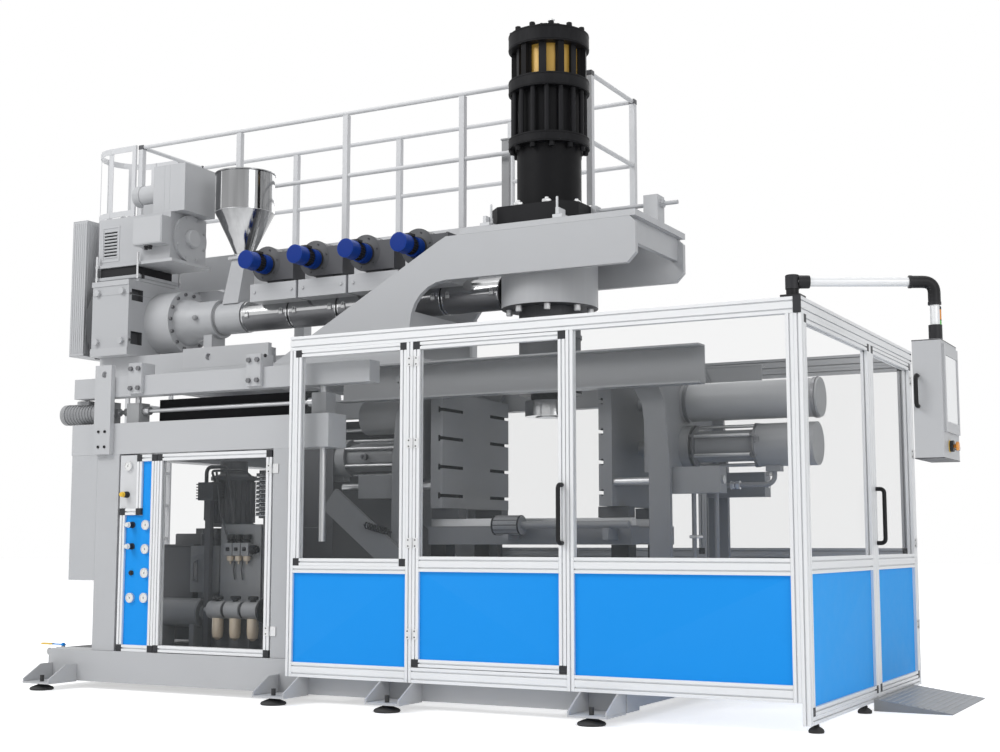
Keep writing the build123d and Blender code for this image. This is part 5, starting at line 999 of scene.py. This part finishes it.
low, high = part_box("valve_lever")
pivot_x, pivot_y, z = high[0] - 0.016, (low[1] + high[1]) / 2, low[2]
near, far = pivot_x - 0.1, low[0]  # ends of the grip
grip = Shape()
grip.slab([(far, pivot_y - 0.013), (far + 0.006, pivot_y - 0.0155), (near, pivot_y - 0.0135),
    (near, pivot_y + 0.0135), (far + 0.006, pivot_y + 0.0155), (far, pivot_y + 0.013)],
    z + 0.004, z + 0.016)
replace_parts(grip.done("lever_grip", "yellow", "lever", bevel=0.003), "valve_lever")
bar = Shape()
outline = ((-0.105, -0.01), (0.012, -0.014), (0.016, 0), (0.012, 0.014), (-0.105, 0.01))
bar.slab([(pivot_x + dx, pivot_y + dy) for dx, dy in outline], z + 0.0055, z + 0.0125)
bar.nut((pivot_x, pivot_y, z + 0.0125), UP, 0.02, 0.008)
bar.rod((pivot_x, pivot_y, z), UP, 0.015, 0.006, 20)
bar.done("lever_bar", "blue", "lever", bevel=0.001)
valve = Shape()
for x in (-2.62, -2.522):
    valve.rod((x, *INLET), RIGHT, 0.0335, 0.022, 8)
valve.turn((-2.69, *INLET), LEFT, [(0.0215, -0.002), (0.026, 0), (0.026, 0.01), (0.016, 0.012),
    (0.015, -0.01)])
valve.done("valve_ends", "zinc")


# Operator panel and arm

arm_pivot = Vector((3.04, -1.25, 2.385))
arm_long, arm_angle = 0.76, radians(28)
drop_x, drop_y = arm_pivot.x + arm_long * cos(arm_angle), arm_pivot.y + arm_long * sin(arm_angle)
corner = Vector((drop_x, drop_y, arm_pivot.z))
way = (corner - arm_pivot).normalized()
drop = Vector((0, 0, 0.125))
elbows = Shape()
elbows.tube([corner - way * 0.135, corner, corner - drop], 0.0335, 0.062, 24)
for base, aim in ((corner - way * 0.135, way), (corner - drop, UP)):
    elbows.turn(base, aim, [(0.027, -0.002), (0.0355, 0), (0.0355, 0.014), (0.033, 0.016)], 28)
elbows.turn(arm_pivot + way * 0.03, way, [(0.036, 0), (0.036, 0.055), (0.0345, 0.062), (0.026, 0.063)], 28)
elbows.turn(arm_pivot + Vector((0, 0, 0.0342)), UP, [(0.037, -0.003), (0.034, 0.003), (0.012, 0.005)], 28)
elbows.done("arm_elbows", "black", "arm")

ends, green, orange = Shape(), Shape(), Shape()
lens = 0.0158  # radius of the beacon's lenses


def on_beacon(shape, z, profile):
    shape.turn((drop_x, drop_y + 0.09, z), UP, profile)


def ringed_lens(shape, z, rings, high):
    fine = [(lens + 0.0005 * (k % 2), 0.004 + 0.005 * k) for k in range(rings)]
    on_beacon(shape, z, [(lens, 0)] + fine + [(lens, high)])


on_beacon(ends, 2.0505, [(0.02, 0), (0.02, 0.004), (0.012, 0.006), (0.012, 0.055), (0.0165, 0.059),
    (0.0165, 0.076)])
ringed_lens(green, 2.1265, 11, 0.06)
on_beacon(ends, 2.1865, [(0.0165, 0), (0.0165, 0.004)])
ringed_lens(orange, 2.1905, 10, 0.056)
on_beacon(ends, 2.2465, [(0.0165, 0), (0.0165, 0.014), (0.013, 0.02), (0.004, 0.0215)])
ends.done("beacon_ends", "black", "panel")
green.done("beacon_green", "green", "panel")
orange.done("beacon_orange", "orange", "panel")

panel_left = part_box("operator_panel")[0][0]
face = panel_left + 0.15  # the panel's front
stop_y, stop_z = drop_y - 0.06, 1.495
stop = Shape()
stop.turn((face + 0.0125, stop_y, stop_z), RIGHT, [(0.0095, 0), (0.0095, 0.018), (0.019, 0.0195),
    (0.024, 0.024), (0.0245, 0.03), (0.021, 0.0355), (0.012, 0.0375), (0.003, 0.038)], 32)
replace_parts(stop.done("stop_mushroom", "orange", "stop_button"), "emergency_stop")
collar, buttons = Shape(), Shape()
collar.turn((face + 0.0006, stop_y, stop_z), RIGHT, [(0.033, 0), (0.033, 0.002), (0.0302, 0.003)], 32)
for k in range(4):
    buttons.turn((face + 0.0122, drop_y + 0.02 + 0.042 * k, stop_z), RIGHT,
        [(0.0085, -0.001), (0.0085, 0.002), (0.007, 0.003)], 20)
collar.done("stop_ring", "yellow", "panel")
buttons.done("panel_buttons", "dial", "panel")
lips = Shape()
for z in (1.4262, 2.0442):
    lips.box((panel_left - 0.001, drop_y - 0.201, z), (face + 0.001, drop_y + 0.201, z + 0.0045), 0.001)
lips.done("panel_lips", "black", "panel")


# Floor, lights and camera

def by_ray(tree, plain, seen):
    """Show one shader to the rays that see the background, and the plain one to the rays that light."""
    link = tree.links.new
    path = add_node(tree, "LightPath")
    total = path.outputs["Is Camera Ray"]
    for name in ("Is Glossy Ray", "Is Transmission Ray"):
        higher = add_node(tree, "Math")
        higher.operation = "MAXIMUM"
        link(total, higher.inputs[0])
        link(path.outputs[name], higher.inputs[1])
        total = higher.outputs["Value"]
    choose = add_node(tree, "MixShader")
    link(total, choose.inputs["Fac"])
    link(plain, choose.inputs[1])
    link(seen, choose.inputs[2])
    return choose.outputs[0]


def glowing(tree, kind, colour, strength):
    return add_node(tree, kind, {"Color": colour, "Strength": strength}).outputs[0]


def stage_floor():
    """A pale floor that looks nearly white where the camera sees it."""
    mesh = bpy.data.meshes.new("floor")
    far = 60.0
    mesh.from_pydata([(-far, -far, 0), (far, -far, 0), (far, far, 0), (-far, far, 0)], [], [(0, 1, 2, 3)])
    floor = place_in_scene("floor", mesh)
    made = bpy.data.materials.new("floor")
    made.use_nodes = True
    tree = made.node_tree
    shader = fill(tree.nodes["Principled BSDF"], {"Base Color": (0.93, 0.93, 0.93, 1), "Roughness": 0.55})
    both = add_node(tree, "AddShader")
    tree.links.new(shader.outputs[0], both.inputs[0])
    tree.links.new(glowing(tree, "Emission", (1, 1, 1, 1), 0.55), both.inputs[1])
    shown = by_ray(tree, shader.outputs[0], both.outputs[0])
    tree.links.new(shown, tree.nodes["Material Output"].inputs["Surface"])
    mesh.materials.append(made)


def studio():
    """A white background that lights softly, and four large lamps."""
    world = bpy.data.worlds.new("studio")
    bpy.context.scene.world = world
    world.use_nodes = True
    tree = world.node_tree
    tree.nodes.clear()
    output = add_node(tree, "OutputWorld")
    soft = glowing(tree, "Background", (0.95, 0.97, 1.0, 1), 0.42)
    white = glowing(tree, "Background", (1, 1, 1, 1), 1.0)
    tree.links.new(by_ray(tree, soft, white), output.inputs["Surface"])
    for name, place, aim, size, power in (
            ("key", (-5.0, -9.0, 9.5), (0, 0, 1.8), (7.0, 5.0), 700.0),
            ("fill", (10.0, -6.0, 5.0), (1.0, 0, 1.5), (5.0, 5.0), 240.0),
            ("top", (0.5, 1.0, 12.0), (0.3, 0, 1.0), (9.0, 6.0), 330.0),
            ("back", (-2.0, 9.0, 7.0), (0, 0, 2.0), (8.0, 4.0), 180.0)):
        data = bpy.data.lights.new(name, "AREA")
        data.shape = "RECTANGLE"
        data.size, data.size_y = size
        data.energy = power
        lamp = place_in_scene(name, data)
        lamp.location = place
        lamp.rotation_euler = (Vector(aim) - Vector(place)).to_track_quat("-Z", "Y").to_euler()


def camera():
    """The camera as it was solved from the photo."""
    data = bpy.data.cameras.new("camera")
    data.sensor_width = 36.0
    data.lens = 52.24
    data.clip_end = 200.0
    obj = place_in_scene("camera", data)
    obj.location = (5.297, -8.772, 0.993)
    obj.rotation_euler = (pi / 2 + 0.11428, 0, 0.49298)
    bpy.context.scene.camera = obj


stage_floor()
studio()
camera()
bpy.context.scene.view_settings.view_transform = "Standard"
